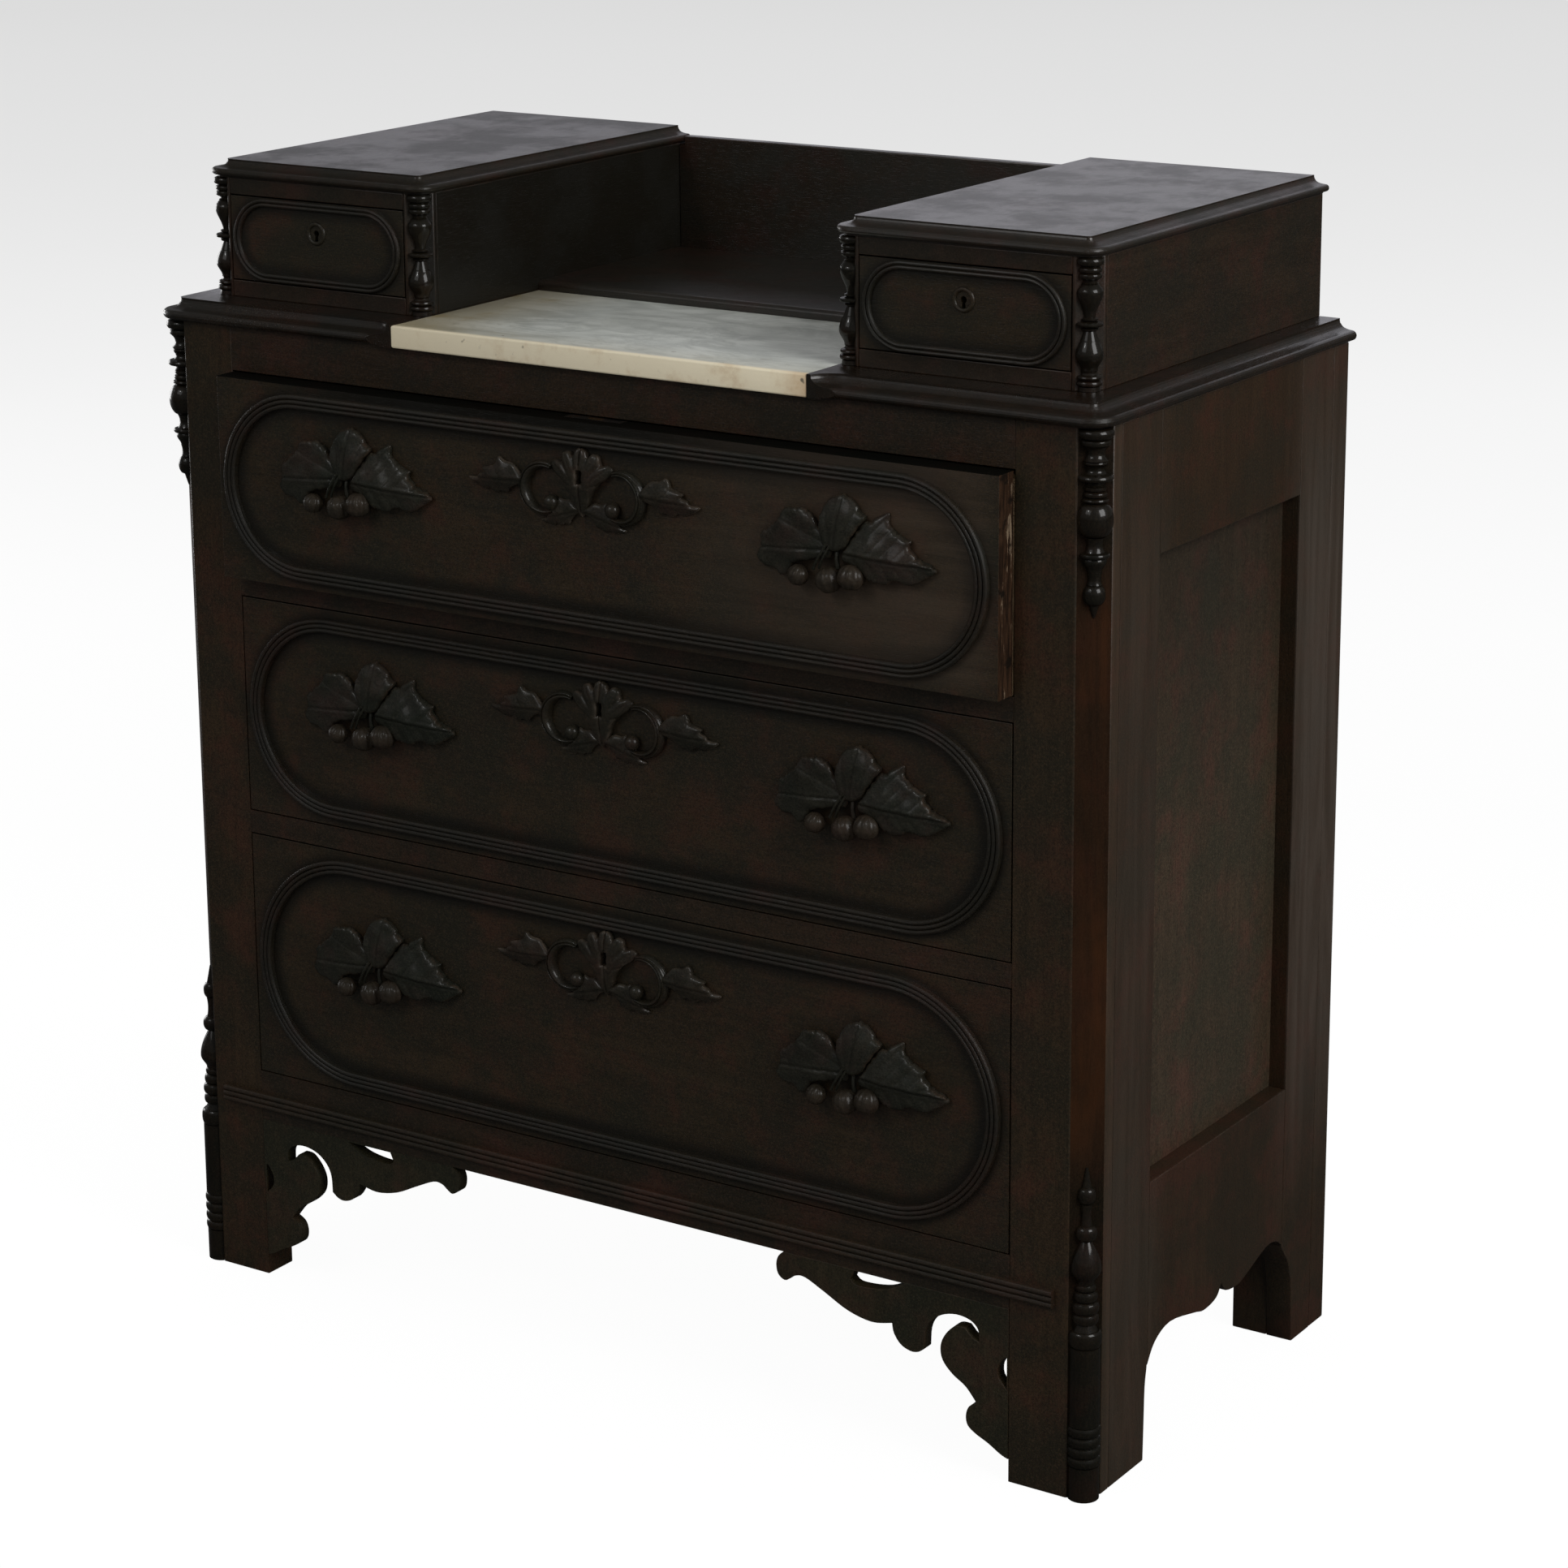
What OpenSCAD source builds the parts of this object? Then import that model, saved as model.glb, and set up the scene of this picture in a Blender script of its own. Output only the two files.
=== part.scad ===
// Washstand chest with a marble slab set in a well between two small boxes.
// Three long drawers hang between chamfered posts that carry split turnings.
// Front faces look along -Y, +X is the viewer's right, Z = 0 is the floor.

/* [Case] */
// Width of the case across the outer faces of its posts
case_w = 1000; // [940:5:1060]
// Depth of the case from its front face to the back of the rear posts
case_d = 463; // [440:1:520]
// Width of a front post seen from the front
post_w = 80; // [70:1:90]
// Thickness of a front post, front to back
post_t = 36; // [32:1:42]
// Leg of the 45 degree chamfer along each front corner
chamfer = 22.5; // [18:0.5:26]
// Width of a rear post seen from behind
rear_post_w = 62; // [54:1:70]
// Thickness of a rear post, front to back
rear_post_t = 30; // [26:1:34]
// Height of the blocks glued inside the rear feet
foot_block_h = 92; // [70:1:100]

/* [Side frames] */
// Thickness of the side stiles and rails
side_t = 26; // [24:1:30]
// Distance from the case front to the front edge of the side panel
side_front = 105; // [95:1:115]
// Distance from the case back to the rear edge of the side panel
side_rear = 93; // [85:1:100]
// Depth of the side panel behind the faces of its frame
panel_recess = 17; // [12:0.5:18]
// Thickness of the side panel
panel_t = 7; // [5:0.5:8]
// Height of the top rail of the side frame
side_top_h = 124; // [110:1:140]
// Height of the top edge of the bottom side rail above the floor
side_base_z = 261; // [230:1:280]
// Depth of the front foot seen from the side
front_foot = 100; // [92:1:102]
// Depth of the rear foot seen from the side
rear_foot = 68; // [60:1:80]
// Height of the scalloped edge at its arches
scallop_arch = 114; // [105:1:120]
// Height of the scalloped edge at its two drops
scallop_drop = 100; // [90:1:104]

/* [Front rails and drawers] */
// Height of the underside of the base rail above the floor
base_z = 163; // [150:1:180]
// Height of the base rail
base_h = 50; // [40:1:60]
// Height of the bottom drawer opening
bottom_h = 243; // [220:1:255]
// Height of the middle drawer opening
middle_h = 212; // [195:1:225]
// Height of the top drawer opening
top_h = 194; // [180:1:205]
// Height of the rails between drawers
divider_h = 22; // [18:1:26]
// Depth of the rails between drawers, front to back
divider_d = 60; // [50:1:70]
// Height of the frieze rail over the top drawer
frieze_h = 41; // [34:1:50]
// Thickness of the front rails
rail_t = 22; // [20:1:26]
// Thickness of the brackets
bracket_t = 12; // [10:1:16]
// Gap all round a drawer front
front_gap = 1.2; // [0.8:0.1:2]
// Gap between a drawer and the runners that carry it
slide_gap = 0.4; // [0.3:0.1:0.8]
// Thickness of a long drawer's front
front_t = 24; // [20:1:26]
// Thickness of a long drawer's sides and back
drawer_side_t = 12; // [10:1:14]
// Thickness of a drawer bottom
bottom_t = 7; // [5:1:9]
// Height of a drawer bottom over the lower edge of its sides
bottom_rise = 9; // [7:1:12]
// Space between the back of a shut long drawer and the rear posts
drawer_space = 21; // [12:1:50]
// Distance that the top drawer stands open
top_open = 24; // [10:1:60]
// Glue line between boards that are separate solids
glue_line = 0.2; // [0.2:0.1:0.4]

/* [Top] */
// Thickness of the moulded platforms and of the marble slab
slab_t = 20.5; // [18:0.5:24]
// Overhang of the platform moulding beyond the case
platform_lip = 7; // [4:0.5:10]
// Width of the well between the two boxes
well_w = 446; // [400:1:480]
// Projection of the marble in front of the case
marble_lip = 10; // [8:0.5:12]
// Depth of the marble slab behind the case front
marble_d = 214; // [190:1:240]
// Height that the wooden shelf stands above the marble
shelf_rise = 9; // [6:0.5:14]
// Thickness of the board behind the well
backboard_t = 12; // [10:0.5:14]
// Height of the backboard over the marble
backboard_h = 119; // [100:1:122]

/* [Handkerchief boxes] */
// Distance from the case side to the outer side of a box
box_inset = 30; // [20:1:40]
// Distance that a box stands back from the case front
box_setback = 40; // [32:1:60]
// Height of a box from the platform to its top board
box_h = 111.5; // [100:0.5:120]
// Thickness of a box top
box_top_t = 16; // [14:0.5:18]
// Overhang of a box top beyond the box
box_lip = 6; // [4:0.5:8]
// Thickness of the box sides
box_side_t = 14; // [12:1:16]
// Width of a box's corner post seen from the front
box_post_w = 20.5; // [19:0.5:24]
// Leg of the chamfer on a box's corner posts
box_chamfer = 18; // [14:0.5:18.5]
// Height of the rail under a small drawer
box_base_h = 15.5; // [12:0.5:18]
// Height of a small drawer's opening
small_h = 81; // [70:0.5:84]
// Thickness of a small drawer's front
small_front_t = 16; // [14:1:18]
// Thickness of a small drawer's sides and back
small_side_t = 8; // [6:1:10]
// Space between the back of a shut small drawer and the back of its box
small_space = 21; // [12:1:60]

/* [Ornament] */
// Width of the reeded oval moulding on a drawer
oval_w = 13; // [10:0.5:15]
// Projection of the oval moulding
oval_h = 6; // [4:0.5:8]
// Margin between the oval moulding and the edge of the drawer front
oval_margin = 8; // [5:0.5:12]
// Margin between the small oval moulding and the ends of its drawer front
small_oval_margin = 3.5; // [1:0.5:5]
// Height of the reeded base moulding
base_mould_h = 16; // [12:1:22]
// Projection of the base moulding
base_mould_t = 6; // [5:0.5:8]
// Distance from the middle of a drawer to each of its two pulls
pull_x = 264; // [250:1:280]
// Height of a pull's middle over the middle of its drawer
pull_up = 15; // [5:1:20]
// Length of the side leaves of a pull
leaf_len = 88; // [76:1:94]
// Projection of a pull at its middle
pull_rise = 24; // [18:1:28]
// Radius of the largest nuts on a pull
nut_r = 11.5; // [10:0.5:12]
// Length of an escutcheon over its two tails
escutcheon_w = 250; // [230:1:256]
// Projection of an escutcheon at its shell
scroll_rise = 12; // [8:1:15]
// Radius of the largest ball on a post turning
turning_r = 15.5; // [13:0.5:15.5]
// Height of the lower split turnings
lower_turning_h = 305; // [280:1:320]
// Height of the upper split turnings
upper_turning_h = 160; // [140:1:180]
// Radius of the largest ball on a box turning
box_turning_r = 12; // [9:0.5:12.5]

/* [Locks] */
// Width of a long drawer's lock case
lock_w = 60; // [50:1:70]
// Height of a long drawer's lock case
lock_h = 66; // [60:1:72]
// Thickness of a lock case
lock_t = 11; // [9:0.5:12]
// Width of a lock bolt
bolt_w = 16; // [12:1:20]
// Thickness of a lock bolt
bolt_t = 4; // [3:0.5:5]
// Rise of the bolt when the lock is shut
bolt_throw = 7; // [5:0.5:8]
// Size of a small drawer's lock against a long drawer's
small_lock = 0.62; // [0.5:0.01:0.7]
// Radius of the round top of a keyhole
key_r = 3; // [2.5:0.1:3.5]

/* [Hidden] */
$fn = 64;
WALNUT = "#2a1d17";
POPLAR = "#9b8460";
MARBLE = "#d9d4cb";
STEEL = "#6f6a62";
BRASS = "#a5813c";

half_w = case_w / 2;
open_w = case_w - 2 * post_w;
half_open = open_w / 2;
bottom_z = base_z + base_h;
middle_z = bottom_z + bottom_h + divider_h;
top_z = middle_z + middle_h + divider_h;
case_h = top_z + top_h + frieze_h;
deck_z = case_h + slab_t;
rear_y = case_d - rear_post_t;
drawer_len = rear_y - drawer_space;
back_y = case_d - backboard_t;
well_x = well_w / 2;
box_x = half_w - box_inset;
box_w = box_x - well_x;
box_mid = (box_x + well_x) / 2;
box_top_z = deck_z + box_h;
small_z = deck_z + box_base_h;
small_len = back_y - glue_line - small_space - box_setback;
small_w = box_w - 2 * box_post_w;
side_in = half_w - side_t;
front_w = open_w - 2 * front_gap;
small_front_w = small_w - 2 * front_gap;
small_front_h = small_h - 2 * front_gap;
small_bottom_t = 5;
small_bottom_rise = 6;
// Width and height of the small drawers' moulding against the long drawers'
small_oval = 0.6;
marble_gap = 0.3;
lock_gap = 0.3;
bolt_gap = 0.6;
bolt_y = front_t - lock_t + (lock_t - bolt_t) / 2;
small_lock_w = small_lock * lock_w;
small_lock_h = small_lock * lock_h;
small_lock_t = small_lock * lock_t;
small_bolt_w = small_lock * bolt_w;
small_bolt_t = small_lock * bolt_t;
small_throw = small_lock * bolt_throw;
small_bolt_y = small_front_t - small_lock_t + (small_lock_t - small_bolt_t) / 2;
// Distance from the top of a lock case down to its keyhole and to its bolt's foot
KEY_DOWN = 0.7;
BOLT_DOWN = 0.55;
platform_corner = 24;
box_corner = 20;
// The part's origin is the middle of its footprint, open top drawer included.
mid_y = (case_d - top_open - pull_rise) / 2;

// Drawers from the bottom: opening height, opening floor, distance it stands open
LONG = [
    ["bottom", bottom_z, bottom_h, 0],
    ["middle", middle_z, middle_h, 0],
    ["top", top_z, top_h, top_open]
];

// ---------------------------------------------------------------- curves

// Points on an arc about (cx, cy)
function arc(cx, cy, r, a0, a1, n = 8) =
    [for (i = [0:n]) let (a = a0 + (a1 - a0) * i / n) [cx + r * cos(a), cy + r * sin(a)]];

// One point of a smooth curve between p1 and p2
function blend_point(p0, p1, p2, p3, t) =
    0.5 * (2 * p1 + (p2 - p0) * t + (2 * p0 - 5 * p1 + 4 * p2 - p3) * t * t
    + (3 * p1 - p0 - 3 * p2 + p3) * t * t * t);

// Smooth curve through a run of points, with a corner at each end
function smooth(p, n = 4) = concat(
    [for (i = [0:len(p) - 2]) for (k = [0:n - 1])
        blend_point(p[max(i - 1, 0)], p[i], p[i + 1], p[min(i + 2, len(p) - 1)], k / n)],
    [p[len(p) - 1]]);

// ---------------------------------------------------------------- placing

// Moves a piece from the case's own corner to the part's origin
module place() {
    translate([0, -mid_y, 0]) children();
}

// A piece drawn for the right side, or its mirror image on the left
module on_side(side) {
    if (side > 0) children();
    else mirror([1, 0, 0]) children();
}

// A box given by its two corners
module block(low, high) {
    translate(low) cube(high - low);
}

// Raises flat work so that its face looks along -Y at depth y
module on_front(y, z) {
    translate([0, y, z]) rotate([90, 0, 0]) children();
}

// ---------------------------------------------------------------- case

// Front post with its chamfered corner, from the floor to the platform
module front_post(side) {
    color(WALNUT) place() on_side(side)
        linear_extrude(case_h)
            polygon([
                [half_open, 0], [half_w - chamfer, 0], [half_w, chamfer],
                [half_w, post_t], [half_open, post_t]]);
}

// Rear post, with the block glued inside its foot
module rear_post(side) {
    color(WALNUT) place() on_side(side) {
        block([half_w - rear_post_w, rear_y, 0], [half_w, case_d, case_h]);
        block([half_w - rear_post_w, case_d - rear_foot, 0],
            [side_in - glue_line, rear_y - glue_line, foot_block_h]);
    }
}

// Side frame: two stiles that run down as feet, a top rail and a scalloped rail
module side_frame(side) {
    y0 = side_front;
    y1 = case_d - side_rear;
    foot0 = front_foot;
    foot1 = case_d - rear_foot;
    shoulder = scallop_arch - 27;
    mid = (foot0 + foot1) / 2;
    drop = 34;
    swell = 10;
    front_stile = concat(
        [[post_t + glue_line, 0], [foot0, 0]],
        smooth([[foot0 + 1, 0.4 * shoulder], [foot0 + 2, 0.8 * shoulder], [y0, shoulder]], 3),
        [[y0, case_h], [post_t + glue_line, case_h]]);
    rear_stile = concat(
        [[rear_y - glue_line, 0], [foot1, 0]],
        smooth([[foot1 - 2, 0.5 * shoulder], [foot1 - 8, 0.9 * shoulder],
            [y1, scallop_arch - 10]], 3),
        [[y1, case_h], [rear_y - glue_line, case_h]]);
    front_run = smooth([
        [y0 + glue_line, shoulder + 1], [y0 + 15, scallop_arch - 8],
        [y0 + 43, scallop_arch], [mid - drop - 20, scallop_drop + 5],
        [mid - drop, scallop_drop], [mid - swell, scallop_drop + 3], [mid, scallop_arch]]);
    rear_run = smooth([
        [mid, scallop_arch], [mid + swell, scallop_drop + 3], [mid + drop, scallop_drop],
        [mid + drop + 20, scallop_drop + 5], [y1 - 32, scallop_arch + 2],
        [y1 - 12, scallop_arch], [y1 - glue_line, scallop_arch - 8]]);
    color(WALNUT) place() on_side(side) {
        side_board(front_stile);
        side_board(rear_stile);
        block([side_in, y0 + glue_line, case_h - side_top_h], [half_w, y1 - glue_line, case_h]);
        side_board(concat(front_run, rear_run,
            [[y1 - glue_line, side_base_z], [y0 + glue_line, side_base_z]]));
    }
}

// A board of the side frame, from its outline in Y and Z
module side_board(outline) {
    translate([side_in, 0, 0]) rotate([90, 0, 90])
        linear_extrude(side_t) polygon(outline);
}

// Thin flat panel, set back in the side frame
module side_panel(side) {
    x1 = half_w - panel_recess;
    color(WALNUT) place() on_side(side)
        block([x1 - panel_t, side_front + glue_line, side_base_z + glue_line],
            [x1, case_d - side_rear - glue_line, case_h - side_top_h - glue_line]);
}

// Frieze rail, two rails between the drawers, the base rail and the rail glued
// behind it, each with the stops of the drawer above
module front_rails() {
    stop_t = 5;
    stop_w = 36;
    stop_back = divider_d - 6;
    inner_rail_h = 18;
    color(WALNUT) place() {
        difference() {
            block([-half_open, 0, top_z + top_h], [half_open, rail_t, case_h]);
            bolt_mortise(top_z + top_h);
        }
        for (z = [middle_z, top_z])
            difference() {
                block([-half_open, 0, z - divider_h], [half_open, divider_d, z]);
                bolt_mortise(z - divider_h);
            }
        block([-half_open, 0, base_z], [half_open, rail_t, bottom_z]);
        block([-half_open, rail_t + glue_line, bottom_z - inner_rail_h],
            [half_open, divider_d, bottom_z]);
        for (d = LONG, side = [-1, 1])
            translate([side * half_open / 2, 0, d[1]])
                block([-stop_w / 2, front_t + slide_gap, glue_line],
                    [stop_w / 2, stop_back, stop_t]);
    }
}

// Pocket in the underside of a rail that the lock bolt rises into
module bolt_mortise(z) {
    clear = 1;
    block([-bolt_w / 2 - clear, bolt_y - clear, z - 1],
        [bolt_w / 2 + clear, bolt_y + bolt_t + clear, z + bolt_throw + clear]);
}

// Outline of the reeded moulding: n beads side by side, w wide and h high
function reeds(w, h, n) = concat(
    [[0, 0]],
    [for (i = [0:n - 1]) each arc(w * (i + 0.5) / n, h - w / n / 2, w / n / 2, 180, 0, 6)],
    [[w, 0]]);

// Reeded strip planted on the foot of the base rail
module base_moulding() {
    end_margin = 13;
    foot_margin = 12;
    reach = half_w - chamfer - end_margin;
    color(WALNUT) place()
        translate([-reach, 0, base_z + foot_margin]) rotate([90, 0, 90]) linear_extrude(2 * reach)
            mirror([1, 0]) rotate(90) mirror([0, 1]) polygon(reeds(base_mould_h, base_mould_t, 3));
}

// Pierced scroll-cut bracket between a front post and the base rail, drawn for a
// rail 163 above the floor. u runs inward from the post, v is the height.
module bracket(side) {
    drawn_top = 163;
    k = base_z / drawn_top;
    top = drawn_top;
    nose = smooth([[233, top], [239, 157], [241, 149], [239, 140], [232, 135.5], [226, 138.5],
        [220, 142.5], [210, 143], [190, 134], [165, 122], [140, 117], [119, 121]]);
    lobe = smooth([[119, 121], [117, 112], [110, 103], [100, 99], [92, 100], [85, 105]]);
    hook_out = smooth([[85, 105], [84, 121], [79, 132], [68, 141], [53, 145], [39, 143],
        [31, 136], [30, 125]]);
    hook_in = smooth([[30, 125], [37, 128], [44, 135]]);
    belly = smooth([[44, 135], [54, 134], [64, 124], [69, 112], [67, 99], [57, 88],
        [43, 79], [32, 66]]);
    toe = smooth([[32, 66], [40, 61], [43, 52], [41, 43], [33, 37], [20, 31], [8, 24], [0, 21]]);
    eye = concat(
        [[107, top - 1.5], [158, top - 1.5]],
        smooth([[162, 153], [156, 149], [140, 149.5], [124, 152.5], [112, 158]], 3));
    slit = concat(smooth([[2, 87], [10, 96], [10, 107], [4, 116]], 3), [[2, 116]]);
    color(WALNUT) place() on_side(side)
        translate([half_open - glue_line, 0, 0]) mirror([1, 0, 0]) on_front(bracket_t, 0)
            linear_extrude(bracket_t) scale(k)
                difference() {
                    polygon(concat([[0, top]], nose, lobe, hook_out, hook_in, belly, toe));
                    polygon(eye);
                    polygon(slit);
                }
}

// Runners that carry the long drawers, and the strips that guide their sides
module drawer_runners() {
    runner_h = 18;
    runner_w = 30;
    guide_h = 24;
    color(POPLAR) place()
        for (d = LONG, side = [-1, 1]) on_side(side) {
            block([half_open - runner_w, divider_d + glue_line, d[1] - runner_h],
                [side_in, rear_y, d[1]]);
            block([half_open, divider_d + glue_line, d[1] + glue_line],
                [side_in, rear_y, d[1] + guide_h]);
        }
}

// Upright boards that close the back, nailed to two rails between the rear posts
module back_boards() {
    board_t = 8;
    boards = 5;
    reach = half_w - rear_post_w;
    board_w = 2 * reach / boards;
    rail_h = 40;
    inner = case_d - 2 - board_t;
    color(POPLAR) place() {
        for (i = [0:boards - 1])
            block([-reach + i * board_w + glue_line, inner, base_z],
                [-reach + (i + 1) * board_w - glue_line, inner + board_t, case_h]);
        for (z = [base_z, case_h - rail_h])
            block([-reach, rear_y, z], [reach, inner - glue_line, z + rail_h]);
    }
}

// Bearers under the joints of the top: two front to back and one across
module top_bearers() {
    bearer_w = 50;
    bearer_h = 22;
    z0 = case_h - bearer_h;
    inner = well_x - bearer_w / 2;
    color(POPLAR) place() {
        for (side = [-1, 1]) on_side(side)
            block([inner, rail_t, z0], [inner + bearer_w, rear_y, case_h]);
        block([-inner + glue_line, marble_d - bearer_w / 2, z0],
            [inner - glue_line, marble_d + bearer_w / 2, case_h]);
    }
}

// ---------------------------------------------------------------- moulded tops

// Edge of a platform: fillet, cove and bead; x = 0 is the outermost point
PLATFORM_EDGE = concat(
    [[-24, slab_t], [-17, slab_t], [-17, slab_t - 2]],
    smooth([[-16.5, slab_t - 4], [-13.5, slab_t - 7.5], [-9, slab_t - 9.3], [-4.5, slab_t - 10]], 3),
    arc(-4.5, slab_t - 14.5, 4.5, 90, -90, 8),
    [[-9, slab_t - 19], [-9, 0], [-24, 0]]);

// Edge of a box top: fillet, cove, bead and a small step
BOX_EDGE = concat(
    [[-20, box_top_t], [-15, box_top_t], [-15, box_top_t - 1.5]],
    smooth([[-14.5, box_top_t - 3], [-12.5, box_top_t - 5.5], [-8.5, box_top_t - 7],
        [-3.2, box_top_t - 7.6]], 3),
    arc(-3.2, box_top_t - 10.8, 3.2, 90, -90, 8),
    [[-5.5, box_top_t - 14], [-6, 0], [-20, 0]]);

// Board with a moulded front and right edge, and a moulded left edge if both is true;
// otherwise the front edge stays plain over the length given. low and high are the
// outermost corners in plan.
module moulded_board(low, high, thick, edge, r, both, plain = 0) {
    x0 = both ? low[0] + r : low[0] + plain;
    x1 = high[0] - r;
    y0 = low[1] + r;
    block([both ? x0 : low[0], y0, 0], [x1, high[1], thick]);
    translate([x0, y0, 0]) rotate([90, 0, 90]) linear_extrude(x1 - x0)
        mirror([1, 0]) translate([r, 0]) polygon(edge);
    translate([x1 + r, high[1], 0]) rotate([90, 0, 0]) linear_extrude(high[1] - y0) polygon(edge);
    translate([x1, y0, 0]) rotate([0, 0, -90]) rotate_extrude(angle = 90)
        translate([r, 0]) polygon(edge);
    if (both) {
        translate([low[0], high[1], 0]) mirror([1, 0, 0]) rotate([90, 0, 0])
            linear_extrude(high[1] - y0) polygon(edge);
        translate([x0, y0, 0]) rotate([0, 0, 180]) rotate_extrude(angle = 90)
            translate([r, 0]) polygon(edge);
    }
}

// Platform that carries a box. Its moulding is stopped short of the marble, where
// the cutter swung out round an axis in front of the edge.
module platform(side) {
    stop_w = 30;
    swing = 11;
    deep = -PLATFORM_EDGE[1][0];
    foot = -PLATFORM_EDGE[len(PLATFORM_EDGE) - 2][0];
    cut = [for (i = [1:len(PLATFORM_EDGE) - 2])
        [swing - PLATFORM_EDGE[i][0], PLATFORM_EDGE[i][1]]];
    color(WALNUT) place() on_side(side) translate([0, 0, case_h]) {
        moulded_board([well_x, -marble_lip], [half_w + platform_lip, case_d],
            slab_t, PLATFORM_EDGE, platform_corner, false, stop_w);
        difference() {
            block([well_x, -marble_lip, 0],
                [well_x + stop_w, platform_corner - marble_lip, slab_t]);
            translate([well_x + stop_w, -marble_lip - swing, 0]) rotate_extrude()
                polygon(concat([[0, slab_t + 1], [swing + deep, slab_t + 1]], cut,
                    [[swing + foot, -1], [0, -1]]));
        }
    }
}

// Marble slab that drops into the well, its front edges eased
module marble_slab() {
    ease = 2;
    color(MARBLE) place()
        translate([-well_x + marble_gap, 0, case_h]) rotate([90, 0, 90])
            linear_extrude(well_w - 2 * marble_gap)
                polygon(concat(
                    arc(-marble_lip + ease, ease, ease, 270, 180, 4),
                    arc(-marble_lip + ease, slab_t - ease, ease, 180, 90, 4),
                    [[marble_d, slab_t], [marble_d, 0]]));
}

// Raised wooden shelf behind the marble, with a bull-nosed front edge
module well_shelf() {
    thick = slab_t + shelf_rise;
    nose = 5;
    front = marble_d + marble_gap;
    color(WALNUT) place()
        translate([-well_x + marble_gap, 0, case_h]) rotate([90, 0, 90])
            linear_extrude(well_w - 2 * marble_gap)
                polygon(concat(
                    [[front, 0]],
                    arc(front + nose, thick - nose, nose, 180, 90, 6),
                    [[back_y - glue_line, thick], [back_y - glue_line, 0]]));
}

// Board that closes the back of the well, notched round the moulding of the box tops
module backboard() {
    x = well_x - marble_gap;
    neck = well_x - box_lip - marble_gap;
    shoulder = box_top_z - marble_gap;
    top = deck_z + backboard_h;
    color(WALNUT) place() on_front(case_d, 0) linear_extrude(backboard_t)
        polygon([
            [-x, case_h], [x, case_h], [x, shoulder], [neck, shoulder],
            [neck, top], [-neck, top], [-neck, shoulder], [-x, shoulder]]);
}

// ---------------------------------------------------------------- boxes

// Case of a handkerchief box: posts, sides, back, two front rails and two runners
module box_case(side) {
    post_d = 22;
    rail_d = 20;
    runner_w = 16;
    front = box_setback;
    behind = front + post_d;
    rail_y = front + rail_d;
    small_top = small_z + small_h;
    in0 = well_x + box_post_w;
    in1 = box_x - box_post_w;
    color(WALNUT) place() on_side(side) {
        translate([0, 0, deck_z]) linear_extrude(box_h) {
            polygon([[in1, front], [box_x - box_chamfer, front], [box_x, front + box_chamfer],
                [box_x, behind], [in1, behind]]);
            polygon([[in0, front], [well_x + box_chamfer, front], [well_x, front + box_chamfer],
                [well_x, behind], [in0, behind]]);
        }
        block([box_x - box_side_t, behind + glue_line, deck_z], [box_x, case_d, box_top_z]);
        block([well_x, behind + glue_line, deck_z], [well_x + box_side_t, case_d, box_top_z]);
        block([well_x + box_side_t + glue_line, back_y, deck_z],
            [box_x - box_side_t - glue_line, case_d, box_top_z]);
        block([in0 + glue_line, front, deck_z], [in1 - glue_line, rail_y, small_z]);
        difference() {
            block([in0 + glue_line, front, small_top], [in1 - glue_line, rail_y, box_top_z]);
            translate([box_mid, front, small_top - 1])
                block([-small_bolt_w / 2 - 1, small_bolt_y - 1, 0],
                    [small_bolt_w / 2 + 1, small_bolt_y + small_bolt_t + 1, small_throw + 2]);
        }
        for (x = [well_x + box_side_t + glue_line, box_x - box_side_t - runner_w - glue_line])
            block([x, behind + glue_line, deck_z], [x + runner_w, back_y - glue_line, small_z]);
    }
}

// Moulded top board of a box
module box_top(side) {
    color(WALNUT) place() on_side(side) translate([0, 0, box_top_z])
        moulded_board([well_x - box_lip, box_setback - box_lip], [box_x + box_lip, case_d],
            box_top_t, BOX_EDGE, box_corner, true);
}

// ---------------------------------------------------------------- split turnings

// Outline of a bead or ball: radius r at height z, h high
function bead(z, r, h, neck) =
    [for (i = [0:6]) let (a = -90 + 30 * i) [neck + (r - neck) * cos(a), z + h / 2 * sin(a)]];

// Half of a turning, split down its axis and glued to a chamfer at (x, y). Its outline
// is drawn for one height and enlarged by k.
module split_turning(outline, k, x, y, z, spin) {
    tall = k * outline[len(outline) - 1][1];
    r = k * max([for (p = outline) p[0]]) + 1;
    translate([x, y, z]) rotate(spin)
        intersection() {
            rotate_extrude() polygon(k * concat([[0, 0]], outline, [[0, tall / k]]));
            block([-r, -r, 0], [r, 0, tall]);
        }
}

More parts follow.
